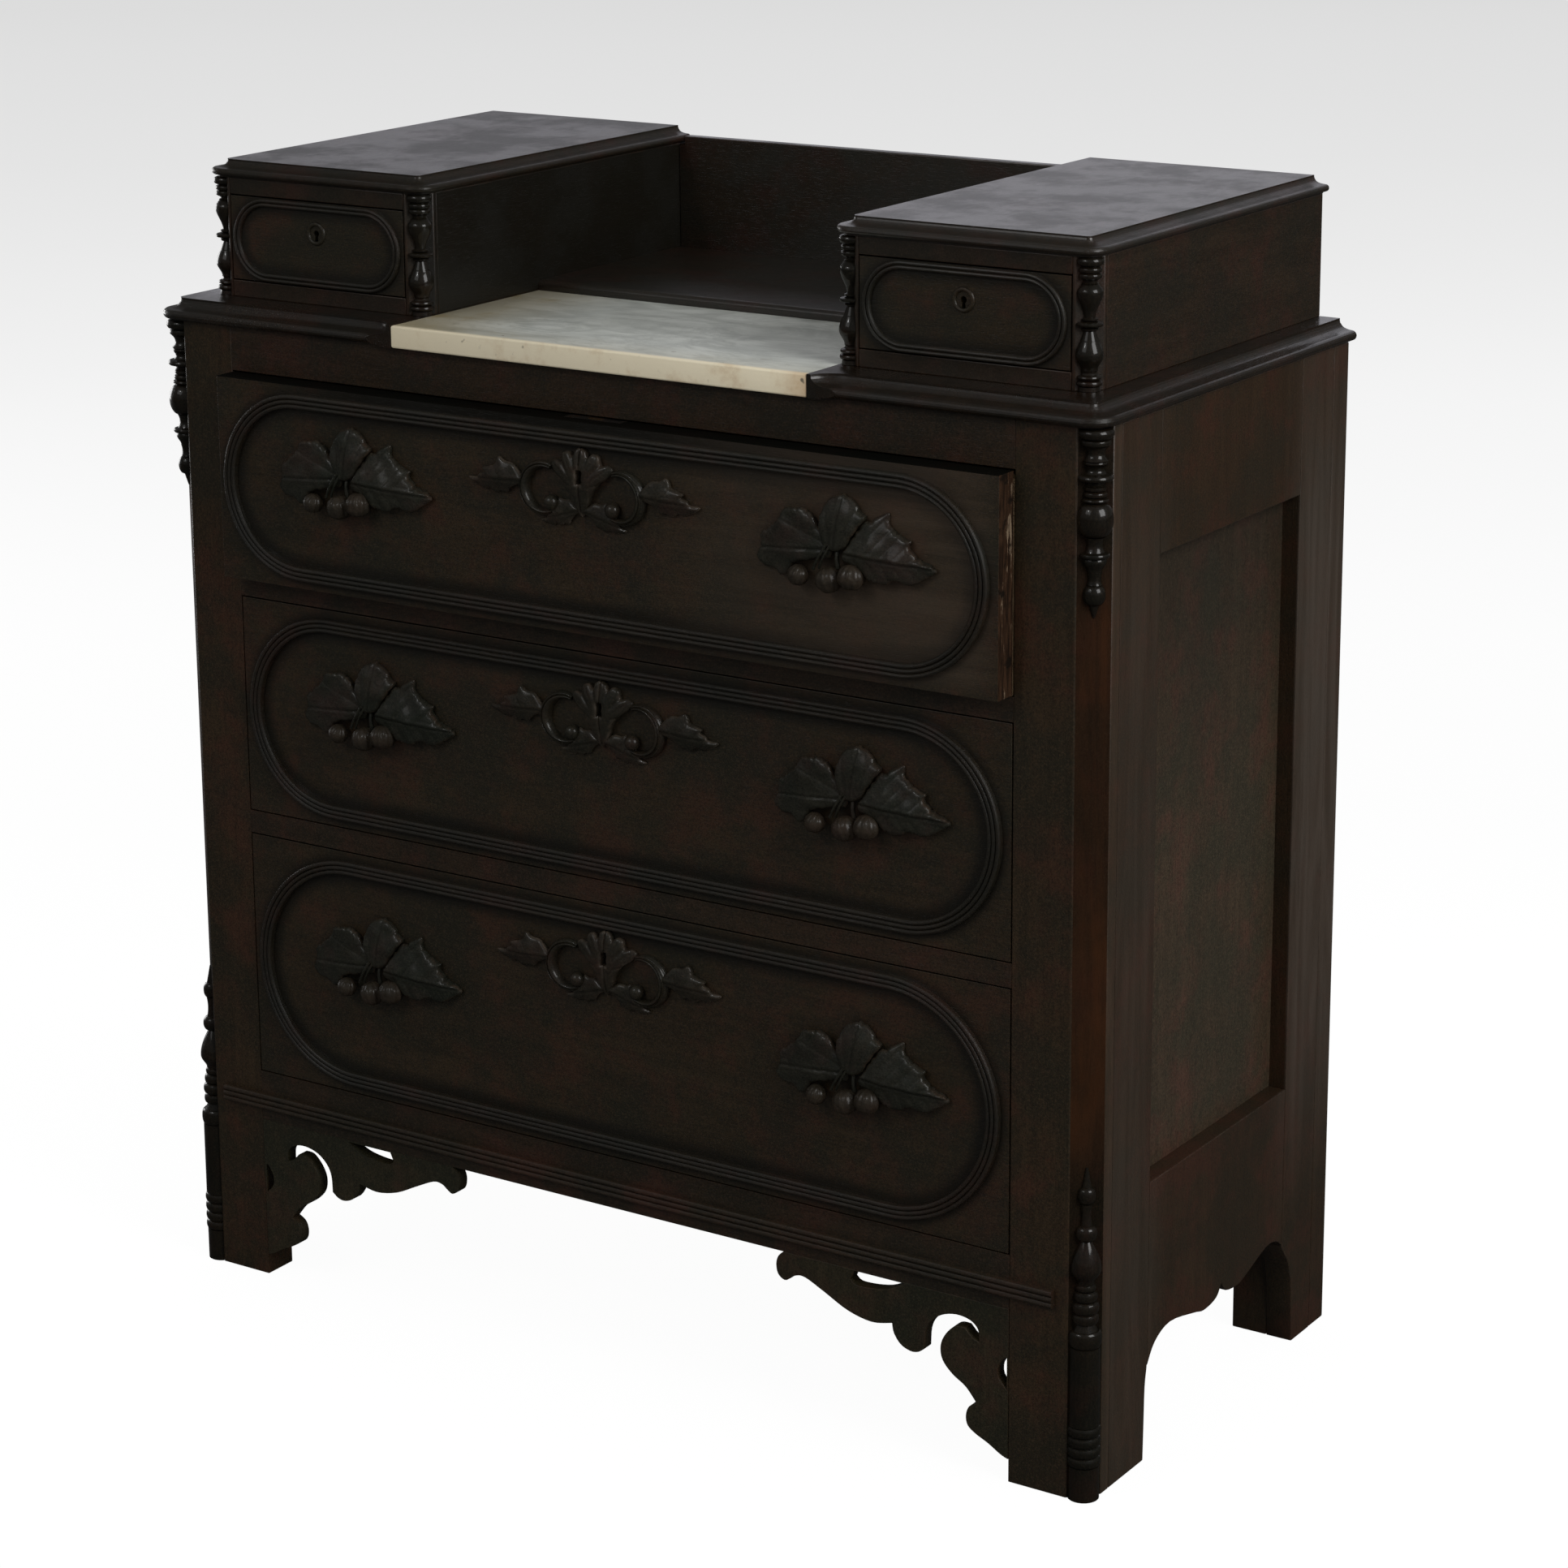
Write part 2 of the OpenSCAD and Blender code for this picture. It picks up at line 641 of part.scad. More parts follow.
// Lower turning, drawn 305 high: plain foot, rings, drum, rings, a pear and a tail
LOWER_H = 305;
function lower_outline(r) = concat(
    [[r - 1.5, 0], [r, 8], [r - 0.5, 27]],
    bead(33, r, 7, r - 3.5), bead(40, r - 1, 6, r - 4), bead(46.5, r - 1.5, 6, r - 4.5),
    [[r - 4, 51]],
    bead(57, r - 1, 6, r - 4), bead(64, r, 7, r - 3.5),
    [[r - 1.5, 69], [r - 1.5, 144]],
    bead(152, r, 12, r - 3.5),
    [[r - 6, 161], [r - 6, 165]],
    bead(170, r - 1.5, 6, r - 5), bead(177, r, 7, r - 5), bead(184, r - 2, 6, r - 6),
    bead(193, r - 5, 6, r - 7.5),
    [[r - 8, 198]],
    smooth([[r - 7, 200], [r - 1.5, 204], [r, 209], [r - 2, 217], [r - 6, 226], [r - 9.5, 235]]),
    bead(242, r - 5.5, 6, r - 9.5), bead(249, r - 4.5, 7, r - 9.5),
    [[5.5, 255], [4, 264]],
    bead(270, 5.5, 5, 3.5), bead(280, 7.5, 14, 4),
    bead(291, 5, 5, 3),
    smooth([[3, 294], [3.5, 299], [1, LOWER_H]], 3));

// Upper turning, drawn 160 high: tail, small ball, flange, ball, rings and a cap
UPPER_H = 160;
function upper_outline(r) = concat(
    smooth([[1, 0], [3.5, 9], [3, 14]], 3),
    bead(19, 6, 6, 3),
    bead(36, r - 6.5, 19, 4),
    [[5, 48]],
    smooth([[5.5, 50], [r - 7, 56], [r - 4, 62]], 3),
    bead(64.5, r - 3, 4, r - 5), bead(70.5, r - 7, 6, r - 10),
    [[r - 9, 75.5]],
    bead(92, r, 30, r - 8),
    bead(111.5, r - 8, 6, r - 10), bead(118, r - 7, 5.5, r - 10),
    bead(125, r - 1.5, 6.5, r - 7),
    bead(133.5, r - 8, 6, r - 10), bead(141, r - 6, 6, r - 9.5),
    bead(152.5, r, 14, r - 6),
    [[r - 6, UPPER_H]]);

// Box turning, drawn 111 high: rings, pear, rings, vase and rings
BOX_TURNING_H = 111;
function box_outline(r) = concat(
    [[r - 3, 0]],
    bead(4.5, r - 1, 6, r - 4), bead(11.5, r - 1, 6, r - 4),
    [[r - 5, 16]],
    smooth([[r - 4.5, 17], [r - 0.5, 25], [r, 31], [r - 2, 40], [r - 6, 50]]),
    bead(56, r - 1, 6, r - 6), bead(62, r - 3.5, 5, r - 7),
    [[r - 7.5, 66]],
    smooth([[r - 7.5, 69], [r - 5, 77], [r - 1, 86], [r - 1.5, 91], [r - 4.5, 94]]),
    bead(98, r - 2, 6, r - 5), bead(104.5, r - 1, 6, r - 4),
    [[r - 2, 108], [r - 2, BOX_TURNING_H]]);

// Half turnings glued on the chamfers of the posts, two below and two above
module post_turnings() {
    x = half_w - chamfer / 2;
    y = chamfer / 2;
    low_k = lower_turning_h / LOWER_H;
    high_k = upper_turning_h / UPPER_H;
    color(WALNUT) place()
        for (side = [-1, 1]) on_side(side) {
            split_turning(lower_outline(turning_r / low_k), low_k, x, y, 0, 45);
            split_turning(upper_outline(turning_r / high_k), high_k, x, y,
                case_h - upper_turning_h - glue_line, 45);
        }
}

// Half turnings on the corner posts of the two boxes
module box_turnings() {
    y = box_setback + box_chamfer / 2;
    k = (box_h - 2 * glue_line) / BOX_TURNING_H;
    outline = box_outline(box_turning_r / k);
    color(WALNUT) place()
        for (side = [-1, 1]) on_side(side) {
            split_turning(outline, k, box_x - box_chamfer / 2, y, deck_z + glue_line, 45);
            split_turning(outline, k, well_x + box_chamfer / 2, y, deck_z + glue_line, -45);
        }
}

// ---------------------------------------------------------------- drawers

// Keyhole: a round hole over a tapering slot, drawn in the plane of the front
module keyhole(r) {
    circle(r);
    polygon([[-0.45 * r, 0], [0.45 * r, 0], [0.7 * r, -2.6 * r], [-0.7 * r, -2.6 * r]]);
}

// Drawer front with the pocket for its lock, the slot for the bolt and the keyhole
module plain_front(w, h, t, lw, lh, lt, key) {
    difference() {
        block([-w / 2, 0, 0], [w / 2, t, h]);
        block([-lw / 2 - lock_gap, t - lt - lock_gap, h - lh - lock_gap],
            [lw / 2 + lock_gap, t + 1, h + 1]);
        on_front(t + 1, h - KEY_DOWN * lh) linear_extrude(t + 2) keyhole(key);
    }
}

// Lock case let into the back of a drawer front, with the channel of its bolt
module lock_case(h, t, lw, lh, lt, by, bw, bt, key) {
    difference() {
        block([-lw / 2, t - lt, h - lh], [lw / 2, t, h]);
        block([-bw / 2 - lock_gap, by - lock_gap, h - BOLT_DOWN * lh - lock_gap],
            [bw / 2 + lock_gap, by + bt + lock_gap, h + 1]);
        on_front(by, h - KEY_DOWN * lh) linear_extrude(lt) keyhole(key);
    }
}

// Bolt that stands in its case, just under the top edge of the drawer front
module lock_bolt(h, lh, by, bw, bt) {
    block([-bw / 2, by, h - BOLT_DOWN * lh + lock_gap], [bw / 2, by + bt, h - bolt_gap]);
}

// Sides, back and bottom of a drawer; the front laps the ends of the sides
module tray(w, h, t, len, st, bt, rise) {
    side_gap = 0.6;
    head_room = 8;
    x = w / 2 - side_gap;
    side_h = h - head_room;
    back_h = side_h - rise - bt - glue_line;
    floor_z = slide_gap + rise;
    for (side = [-1, 1]) on_side(side)
        block([x - st, t + glue_line, slide_gap], [x, len, side_h]);
    block([-x + st + glue_line, t + glue_line, floor_z],
        [x - st - glue_line, len, floor_z + bt]);
    block([-x + st + glue_line, len - st, floor_z + bt + glue_line],
        [x - st - glue_line, len, floor_z + bt + back_h]);
}

// Places a piece in the opening of long drawer i, at the drawer's rest position
module in_long(i) {
    place() translate([0, -LONG[i][3], LONG[i][1]]) children();
}

// Places a piece in the opening of a small drawer
module in_small(side) {
    place() translate([side * box_mid, box_setback, small_z]) children();
}

module long_front(i) {
    h = LONG[i][2] - 2 * front_gap;
    color(WALNUT) in_long(i) translate([0, 0, front_gap])
        plain_front(front_w, h, front_t, lock_w, lock_h, lock_t, key_r);
}

module long_box(i) {
    color(POPLAR) in_long(i)
        tray(front_w, LONG[i][2], front_t, drawer_len, drawer_side_t, bottom_t, bottom_rise);
}

module long_moulding(i) {
    h = LONG[i][2];
    color(WALNUT) in_long(i) on_front(0, h / 2)
        racetrack(front_w - 2 * oval_margin, h - 2 * front_gap - 2 * oval_margin, oval_w, oval_h,
            3);
}

// Racetrack of reeded moulding, l by h outside, lying flat on z = 0
module racetrack(l, h, w, rise, n) {
    straight = l - h;
    outline = reeds(w, rise, n);
    for (side = [0, 1]) {
        mirror([0, side, 0]) translate([-straight / 2, 0, 0]) rotate([90, 0, 90])
            linear_extrude(straight) translate([h / 2 - w, 0]) polygon(outline);
        mirror([side, 0, 0]) translate([straight / 2, 0, 0]) rotate([0, 0, -90])
            rotate_extrude(angle = 180) translate([h / 2 - w, 0]) polygon(outline);
    }
}

// Lobed leaf from its stem at the origin to its tip at (l, 0), wider on its upper side
LEAF = [[0, 0], [0.11, 0.21], [0.2, 0.33], [0.34, 0.37], [0.43, 0.45], [0.485, 0.37],
    [0.51, 0.285], [0.63, 0.24], [0.73, 0.2], [0.7, 0.13], [0.79, 0.08], [0.84, 0.01], [1, 0],
    [0.9, -0.12], [0.73, -0.23], [0.65, -0.2], [0.54, -0.28], [0.45, -0.24], [0.35, -0.27],
    [0.28, -0.18], [0.18, -0.1]];

// Leaves of a pull, drawn with the right leaf's middle rib 1 long, and the angle of
// each leaf's rib
RIGHT_LEAF = [[0.1, -0.06], [0.14, 0.05], [0.23, 0.19], [0.32, 0.31], [0.55, 0.43], [0.59, 0.35],
    [0.66, 0.25], [0.77, 0.2], [0.83, 0.17], [0.82, 0.11], [0.88, 0.04], [0.95, -0.01],
    [1.12, -0.06], [0.99, -0.16], [0.82, -0.24], [0.72, -0.2], [0.55, -0.25], [0.41, -0.22],
    [0.32, -0.1]];
TOP_LEAF = [[-0.11, 0.05], [0.16, 0.05], [0.25, 0.25], [0.34, 0.37], [0.25, 0.42], [0.2, 0.5],
    [0.1, 0.56], [-0.02, 0.52], [-0.12, 0.44], [-0.17, 0.27]];
LEFT_LEAF = [[-0.1, 0.06], [-0.19, 0.18], [-0.25, 0.3], [-0.36, 0.38], [-0.48, 0.37],
    [-0.59, 0.35], [-0.65, 0.24], [-0.74, 0.16], [-0.81, 0.11], [-0.88, 0.06], [-0.87, -0.05],
    [-0.92, -0.18], [-0.83, -0.25], [-0.71, -0.26], [-0.6, -0.32], [-0.51, -0.23],
    [-0.45, -0.15], [-0.1, -0.06]];
LEAVES = [[RIGHT_LEAF, -3], [TOP_LEAF, 80], [LEFT_LEAF, 191]];
// Places of the nuts under the leaves and their sizes against the largest
NUTS = [[-34, -24, 0.8], [-3, -25, 1], [18, -20, 1]];

// Carved pull: three lobed leaves over a cluster of nuts on short stems
module pull() {
    leaf_rise = 2 / 3 * pull_rise;
    crown_r = 5 * leaf_len;
    crown_to = 1.2 * leaf_len;
    crown_n = 6;
    crown = concat([[crown_to, 0]], [for (i = [crown_n:-1:1])
        let (r = crown_to * i / crown_n)
        [r, leaf_rise - crown_r + sqrt(crown_r * crown_r - r * r)]]);
    hub_r = leaf_len / 6;
    hub_up = 3;
    rib_from = leaf_len / 4;
    rib_w = 2.5;
    rib_deep = 2.5;
    stem_r = 2.6;
    intersection() {
        union() {
            for (leaf = LEAVES)
                difference() {
                    linear_extrude(leaf_rise) polygon(leaf_len * leaf[0]);
                    intersection() {
                        translate([0, 0, leaf_rise - crown_r]) rotate([90, 0, leaf[1]])
                            rotate_extrude($fn = 96)
                                polygon([[crown_r - rib_deep, 0], [crown_r + 1, rib_w],
                                    [crown_r + 1, -rib_w]]);
                        rotate(leaf[1]) block([rib_from, -rib_w - 1, 0],
                            [2 * leaf_len, rib_w + 1, leaf_rise + 1]);
                    }
                }
            translate([0, hub_up, 0]) cylinder(r = hub_r, h = leaf_rise);
        }
        rotate_extrude() polygon(concat([[0, 0]], crown, [[0, leaf_rise]]));
    }
    for (nut = NUTS) {
        r = nut[2] * nut_r;
        translate([nut[0], nut[1], pull_rise - nut_r])
            rotate([0, 90, atan2(hub_up - nut[1], -nut[0])]) {
                sphere(r);
                cylinder(r = stem_r, h = norm([nut[0], nut[1]]));
            }
    }
}

// The same pull on both sides of a drawer, cut flat where it is glued to the front
module long_pulls(i) {
    reach = 2 * leaf_len;
    color(WALNUT) in_long(i) on_front(0, LONG[i][2] / 2 + pull_up)
        for (side = [-1, 1]) translate([side * pull_x, 0, 0])
            intersection() {
                pull();
                translate([-reach, -reach, 0]) cube([2 * reach, 2 * reach, reach]);
            }
}

// Shell and stem at the middle of an escutcheon, right half
SHELL = concat(
    smooth([[0, 25], [5, 23], [8, 17.5]]), smooth([[8, 17.5], [15, 21], [21, 18], [21, 11]]),
    smooth([[21, 11], [29, 12], [33, 7], [28, 0], [19, -6], [11, -16], [8, -26], [0, -38]]));

// C-scroll: a band that swells from half its width at both ends, from angle a0 to a1
function scroll_band(r, w, a0, a1, n = 14) =
    let (turn = function(i) a0 + (a1 - a0) * i / n,
        half = function(i) w * (0.5 + 0.5 * sin(180 * i / n)) / 2)
    concat(
        [for (i = [0:n]) (r + half(i)) * [cos(turn(i)), sin(turn(i))]],
        [for (i = [n:-1:0]) (r - half(i)) * [cos(turn(i)), sin(turn(i))]]);

// Carved escutcheon: a shell round the keyhole, a C-scroll that closes on a ball at
// each side of it, a leaf beyond each scroll and a pair of small leaves below
module escutcheon() {
    drawn_w = 250;
    k = escutcheon_w / drawn_w;
    flat_h = 0.6 * scroll_rise;
    dome_r = 30;
    scroll_at = [43, -16.5];
    scroll_r = 20.5;
    scroll_w = 9;
    scroll_from = -122;
    scroll_to = 116;
    ball_at = [33, -28];
    ball_r = 7;
    tail_at = [61, -12];
    tail_len = 64;
    tail_turn = -3;
    low_leaf_at = [1, -32];
    low_leaf_len = 48;
    low_leaf_turn = -16;
    slim = 0.72;
    dome = arc(0, scroll_rise - k * dome_r, k * dome_r, 60, 80, 4);
    difference() {
        union() {
            linear_extrude(flat_h) scale(k) {
                for (side = [0, 1]) mirror([side, 0]) {
                    polygon(SHELL);
                    translate(scroll_at)
                        polygon(scroll_band(scroll_r, scroll_w, scroll_from, scroll_to));
                    translate(ball_at) circle(ball_r);
                    translate(tail_at) rotate(tail_turn) scale([1, slim])
                        polygon(tail_len * LEAF);
                    translate(low_leaf_at) rotate(low_leaf_turn) scale([1, slim])
                        polygon(low_leaf_len * LEAF);
                }
            }
            rotate_extrude() polygon(concat([[0, 0]], dome, [[0, dome[len(dome) - 1][1]]]));
        }
        translate([0, 0, -1]) linear_extrude(scroll_rise + 2) keyhole(key_r);
    }
}

module long_escutcheon(i) {
    h = LONG[i][2];
    color(WALNUT) in_long(i)
        on_front(0, h - front_gap - KEY_DOWN * lock_h) escutcheon();
}

module long_lock(i) {
    color(STEEL) in_long(i) translate([0, 0, front_gap])
        lock_case(LONG[i][2] - 2 * front_gap, front_t, lock_w, lock_h, lock_t,
            bolt_y, bolt_w, bolt_t, key_r);
}

module long_bolt(i) {
    color(BRASS) in_long(i) translate([0, 0, front_gap])
        lock_bolt(LONG[i][2] - 2 * front_gap, lock_h, bolt_y, bolt_w, bolt_t);
}

module small_front(side) {
    color(WALNUT) in_small(side) translate([0, 0, front_gap])
        plain_front(small_front_w, small_front_h, small_front_t,
            small_lock_w, small_lock_h, small_lock_t, key_r);
}

module small_tray(side) {
    color(POPLAR) in_small(side)
        tray(small_front_w, small_h, small_front_t, small_len, small_side_t,
            small_bottom_t, small_bottom_rise);
}

module small_moulding(side) {
    color(WALNUT) in_small(side) on_front(0, small_h / 2)
        racetrack(small_front_w - 2 * small_oval_margin, small_front_h - 2 * glue_line,
            small_oval * oval_w, small_oval * oval_h, 2);
}

// Turned ring let in round the keyhole of a small drawer
module key_ring(side) {
    ring_r = 9;
    bead_r = 2;
    color(WALNUT) in_small(side) on_front(0, small_h - front_gap - KEY_DOWN * small_lock_h)
        rotate_extrude() polygon(arc(ring_r, 0, bead_r, 0, 180, 8));
}

module small_lock_case(side) {
    color(STEEL) in_small(side) translate([0, 0, front_gap])
        lock_case(small_front_h, small_front_t, small_lock_w, small_lock_h, small_lock_t,
            small_bolt_y, small_bolt_w, small_bolt_t, key_r);
}

module small_bolt(side) {
    color(BRASS) in_small(side) translate([0, 0, front_gap])
        lock_bolt(small_front_h, small_lock_h, small_bolt_y, small_bolt_w, small_bolt_t);
}

// ---------------------------------------------------------------- nodes

front_post(-1);  // front_post_left
front_post(1);  // front_post_right
rear_post(-1);  // rear_post_left
rear_post(1);  // rear_post_right
side_frame(-1);  // side_frame_left
side_frame(1);  // side_frame_right
side_panel(-1);  // side_panel_left
side_panel(1);  // side_panel_right
front_rails();
base_moulding();
bracket(-1);  // bracket_left
bracket(1);  // bracket_right
drawer_runners();
back_boards();
top_bearers();
platform(-1);  // platform_left
platform(1);  // platform_right
marble_slab();
well_shelf();
backboard();
box_case(-1);  // box_case_left
box_case(1);  // box_case_right
box_top(-1);  // box_top_left
box_top(1);  // box_top_right
post_turnings();
box_turnings();
long_front(0);  // bottom_drawer_front
long_box(0);  // bottom_drawer_box
long_moulding(0);  // bottom_drawer_moulding
long_pulls(0);  // bottom_drawer_pulls
long_escutcheon(0);  // bottom_drawer_escutcheon
long_lock(0);  // bottom_drawer_lock
long_bolt(0);  // bottom_drawer_bolt
long_front(1);  // middle_drawer_front
long_box(1);  // middle_drawer_box
long_moulding(1);  // middle_drawer_moulding
long_pulls(1);  // middle_drawer_pulls
long_escutcheon(1);  // middle_drawer_escutcheon
long_lock(1);  // middle_drawer_lock
long_bolt(1);  // middle_drawer_bolt
long_front(2);  // top_drawer_front
long_box(2);  // top_drawer_box
long_moulding(2);  // top_drawer_moulding
long_pulls(2);  // top_drawer_pulls
long_escutcheon(2);  // top_drawer_escutcheon
long_lock(2);  // top_drawer_lock
long_bolt(2);  // top_drawer_bolt
small_front(-1);  // left_box_drawer_front
small_tray(-1);  // left_box_drawer_tray
small_moulding(-1);  // left_box_drawer_moulding
key_ring(-1);  // left_box_drawer_key_ring
small_lock_case(-1);  // left_box_drawer_lock
small_bolt(-1);  // left_box_drawer_bolt
small_front(1);  // right_box_drawer_front
small_tray(1);  // right_box_drawer_tray
small_moulding(1);  // right_box_drawer_moulding
key_ring(1);  // right_box_drawer_key_ring
small_lock_case(1);  // right_box_drawer_lock
small_bolt(1);  // right_box_drawer_bolt
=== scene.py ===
import math

import bmesh
import bpy
from mathutils import Matrix, Vector, kdtree, noise


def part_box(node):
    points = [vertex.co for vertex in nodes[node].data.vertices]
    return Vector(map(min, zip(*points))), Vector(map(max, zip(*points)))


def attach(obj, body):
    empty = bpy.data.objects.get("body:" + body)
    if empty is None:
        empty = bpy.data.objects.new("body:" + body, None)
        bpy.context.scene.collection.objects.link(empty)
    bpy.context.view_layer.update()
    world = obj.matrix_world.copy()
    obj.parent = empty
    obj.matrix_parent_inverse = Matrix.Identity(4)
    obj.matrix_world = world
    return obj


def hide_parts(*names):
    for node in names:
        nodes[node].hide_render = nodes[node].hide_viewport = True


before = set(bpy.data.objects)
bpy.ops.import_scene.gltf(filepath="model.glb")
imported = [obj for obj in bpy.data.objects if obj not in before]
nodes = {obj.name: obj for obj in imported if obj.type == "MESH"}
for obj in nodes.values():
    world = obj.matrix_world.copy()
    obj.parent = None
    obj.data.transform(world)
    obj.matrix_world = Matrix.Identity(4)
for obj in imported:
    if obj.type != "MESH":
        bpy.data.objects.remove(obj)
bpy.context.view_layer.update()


# ------------------------------------------------------------------ front posts
# Solid walnut posts with a wide chamfer down each front corner. The grain runs
# up the post. The varnish has gone nearly black, and is rubbed to a warm brown
# along the chamfers and arrises.

class Wire:
    """A socket of a node, used in sums and products as a number is."""

    def __init__(self, finish, socket):
        self.finish = finish
        self.socket = socket

    def math(self, operation, *values, **settings):
        return self.finish.add("Math", dict(enumerate(values)), operation=operation, **settings)

    def __add__(self, other):
        return self.math("ADD", self, other)

    def __sub__(self, other):
        return self.math("SUBTRACT", self, other)

    def __rsub__(self, other):
        return self.math("SUBTRACT", other, self)

    def __mul__(self, other):
        return self.math("MULTIPLY", self, other)

    def __truediv__(self, other):
        return self.math("DIVIDE", self, other)

    def __pow__(self, other):
        return self.math("POWER", self, other)

    __radd__ = __add__
    __rmul__ = __mul__

    def clear(self):
        """Held between 0 and 1."""
        return self.math("ADD", self, 0.0, use_clamp=True)

    def most(self, other):
        return self.math("MAXIMUM", self, other)

    def size(self):
        return self.math("ABSOLUTE", self)

    def rise(self, low, high):
        """0 at low, 1 at high, and an easy slope between them."""
        return self.finish.add("MapRange", {"Value": self, "From Min": low, "From Max": high},
                               interpolation_type="SMOOTHSTEP")


class Nodes:
    """A tree of nodes being built."""

    def __init__(self, tree):
        self.tree = tree

    def add(self, kind, values=None, out=0, stops=None, **settings):
        """Adds a node with its settings, then its values or links, and gives an output."""
        node = self.tree.nodes.new("ShaderNode" + kind)
        for setting, value in settings.items():
            setattr(node, setting, value)
        if stops:
            ramp = node.color_ramp
            while len(ramp.elements) < len(stops):
                ramp.elements.new(1.0)
            for element, (place, colour) in zip(ramp.elements, stops):
                element.position = place
                element.color = (*colour, 1.0)
        for socket, value in (values or {}).items():
            if isinstance(value, Wire):
                self.tree.links.new(value.socket, node.inputs[socket])
            else:
                node.inputs[socket].default_value = value
        return Wire(self, node.outputs[out])


class Finish(Nodes):
    """A material being built, whose set() feeds the sockets of its shader."""

    def __init__(self, name, **constants):
        self.material = bpy.data.materials.new(name)
        self.material.use_nodes = True
        super().__init__(self.material.node_tree)
        self.shader = self.tree.nodes["Principled BSDF"]
        for socket, value in constants.items():
            self.shader.inputs[socket.replace("_", " ")].default_value = value

    def here(self, scale=(1, 1, 1), turn=(0, 0, 0)):
        """The place on the piece, in metres, stretched by scale."""
        spot = self.add("TexCoord", out="Object")
        return self.add("Mapping", {"Vector": spot, "Scale": scale, "Rotation": turn})

    def axis(self, letter):
        """One measure of the place on the piece."""
        spot = self.add("TexCoord", out="Object")
        return self.add("SeparateXYZ", {"Vector": spot}, out=letter)

    def grain(self, where, scale, detail=4.0, rough=0.55, twist=0.0):
        return self.add("TexNoise", {"Vector": where, "Scale": scale, "Detail": detail,
                                     "Roughness": rough, "Distortion": twist}, out="Fac")

    def blend(self, share, first, second):
        """One colour into another."""
        colours = {}
        for socket, colour in ((6, first), (7, second)):
            colours[socket] = colour if isinstance(colour, Wire) else (*colour, 1.0)
        return self.add("Mix", {0: share, **colours}, out=2, data_type="RGBA")

    def bump(self, height, depth):
        return self.add("Bump", {"Height": height, "Distance": depth, "Strength": 1.0}, out="Normal")

    def set(self, **wires):
        for socket, wire in wires.items():
            self.tree.links.new(wire.socket, self.shader.inputs[socket.replace("_", " ")])
        return self.material


# How a pattern is squeezed so that it runs along one axis
ALONG = {"x": (1.0, 14.0, 14.0), "y": (14.0, 1.0, 14.0), "z": (14.0, 14.0, 1.0)}


PORE_BLACK = (0.004, 0.003, 0.002)
# Black for dirt, and for painted shade where a mask stands for shade.
GRIME_AND_SHADE_BLACK = (0.0045, 0.0040, 0.0022)


def walnut(name, along, dark=(0.0115, 0.0085, 0.0052), light=(0.020, 0.0130, 0.0078),
           rub_and_highlight=(0.050, 0.022, 0.009), gloss=0.36, wear_and_highlight=0.4, rubbed=None, grime_and_shade=None,
           shine=0.30, coat=0.20, polish=0.22, tooled=0.0):
    """Old varnished walnut whose grain runs along one axis.

    The worn share shows the rubbed colour on worn arrises, and where rubbed() says; on
    carved rims that light colour is partly a painted highlight. The black mask says where it is
    black, for dirt and for painted shade. Shine, coat and polish are the varnish's gloss, and
    tooled is the depth of a carver's tool marks."""
    finish = Finish(name, Coat_Roughness=polish, IOR=1.48, Specular_IOR_Level=shine)
    board = finish.here(scale=ALONG[along])
    figure = finish.grain(board, 2.6, 7.0, 0.62, 1.4).rise(0.30, 0.72)
    fibre = finish.grain(board, 34.0, 3.0, 0.6, 0.2)
    pores = finish.grain(board, 95.0, 2.0, 0.5).rise(0.56, 0.72)
    spot = finish.here()
    red = finish.grain(spot, 17.0, 4.0, 0.66).rise(0.46, 0.64)
    cloud = finish.grain(finish.here(turn=(0.7, 0.4, 0)), 12.0, 5.0, 0.66).rise(0.42, 0.62)
    wood = finish.blend(0.2 + 0.6 * figure, dark, light)
    wood = finish.blend(red * 0.7, wood, (light[0] * 1.2, light[1] * 0.75, light[2] * 0.85))
    wood = finish.blend(cloud * 0.7, wood, (dark[0] * 0.72, dark[1] * 1.0, dark[2] * 0.9))
    wood = finish.blend(fibre.rise(0.4, 0.7) * 0.25, wood, tuple(c * 0.5 for c in dark))
    wood = finish.blend(pores * 0.4, wood, PORE_BLACK)
    fleck = finish.grain(spot, 620.0, 1.0, 0.5)
    wood = finish.blend(fleck.rise(0.50, 0.74) * 0.5, wood, tuple(c * 0.45 for c in dark))
    wood = finish.blend((1 - fleck).rise(0.52, 0.76) * 0.45, wood, tuple(c * 1.35 for c in light))
    edge = finish.add("Attribute", attribute_name="wear_and_highlight", out="Fac")
    scuff = finish.grain(spot, 46.0, 4.0, 0.7).rise(0.42, 0.62)
    worn = edge * (0.15 + 0.85 * scuff) * wear_and_highlight
    if rubbed:
        worn = worn.most(rubbed(finish) * (0.45 + 0.55 * figure))
    # Blackens the wood where the mask says, for dirt and for painted shade.
    if grime_and_shade:
        wood = finish.blend(grime_and_shade(finish), wood, GRIME_AND_SHADE_BLACK)
    worn = worn.clear()
    wood = finish.blend(worn * 0.85, wood, rub_and_highlight)
    dull = gloss + 0.12 * cloud + 0.14 * worn + 0.05 * fibre
    ripple = finish.grain(spot, 210.0, 2.0, 0.5) * 0.25 - pores * 0.5 + fibre * 0.3
    if tooled:
        ripple = ripple + finish.grain(spot, 90.0, 3.0, 0.6, 0.6) * tooled
    return finish.set(Base_Color=wood, Roughness=dull, Coat_Weight=coat * (1 - worn),
                      Normal=finish.bump(ripple, 0.00022))


def paint(node, material):
    """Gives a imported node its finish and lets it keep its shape."""
    slots = nodes[node].material_slots
    for slot in slots:
        slot.material = material
    if not slots:
        nodes[node].data.materials.append(material)


def meshed(bm, name):
    """Ends the work on a bmesh and gives back its mesh."""
    mesh = bpy.data.meshes.new(name)
    bm.to_mesh(mesh)
    bm.free()
    return mesh


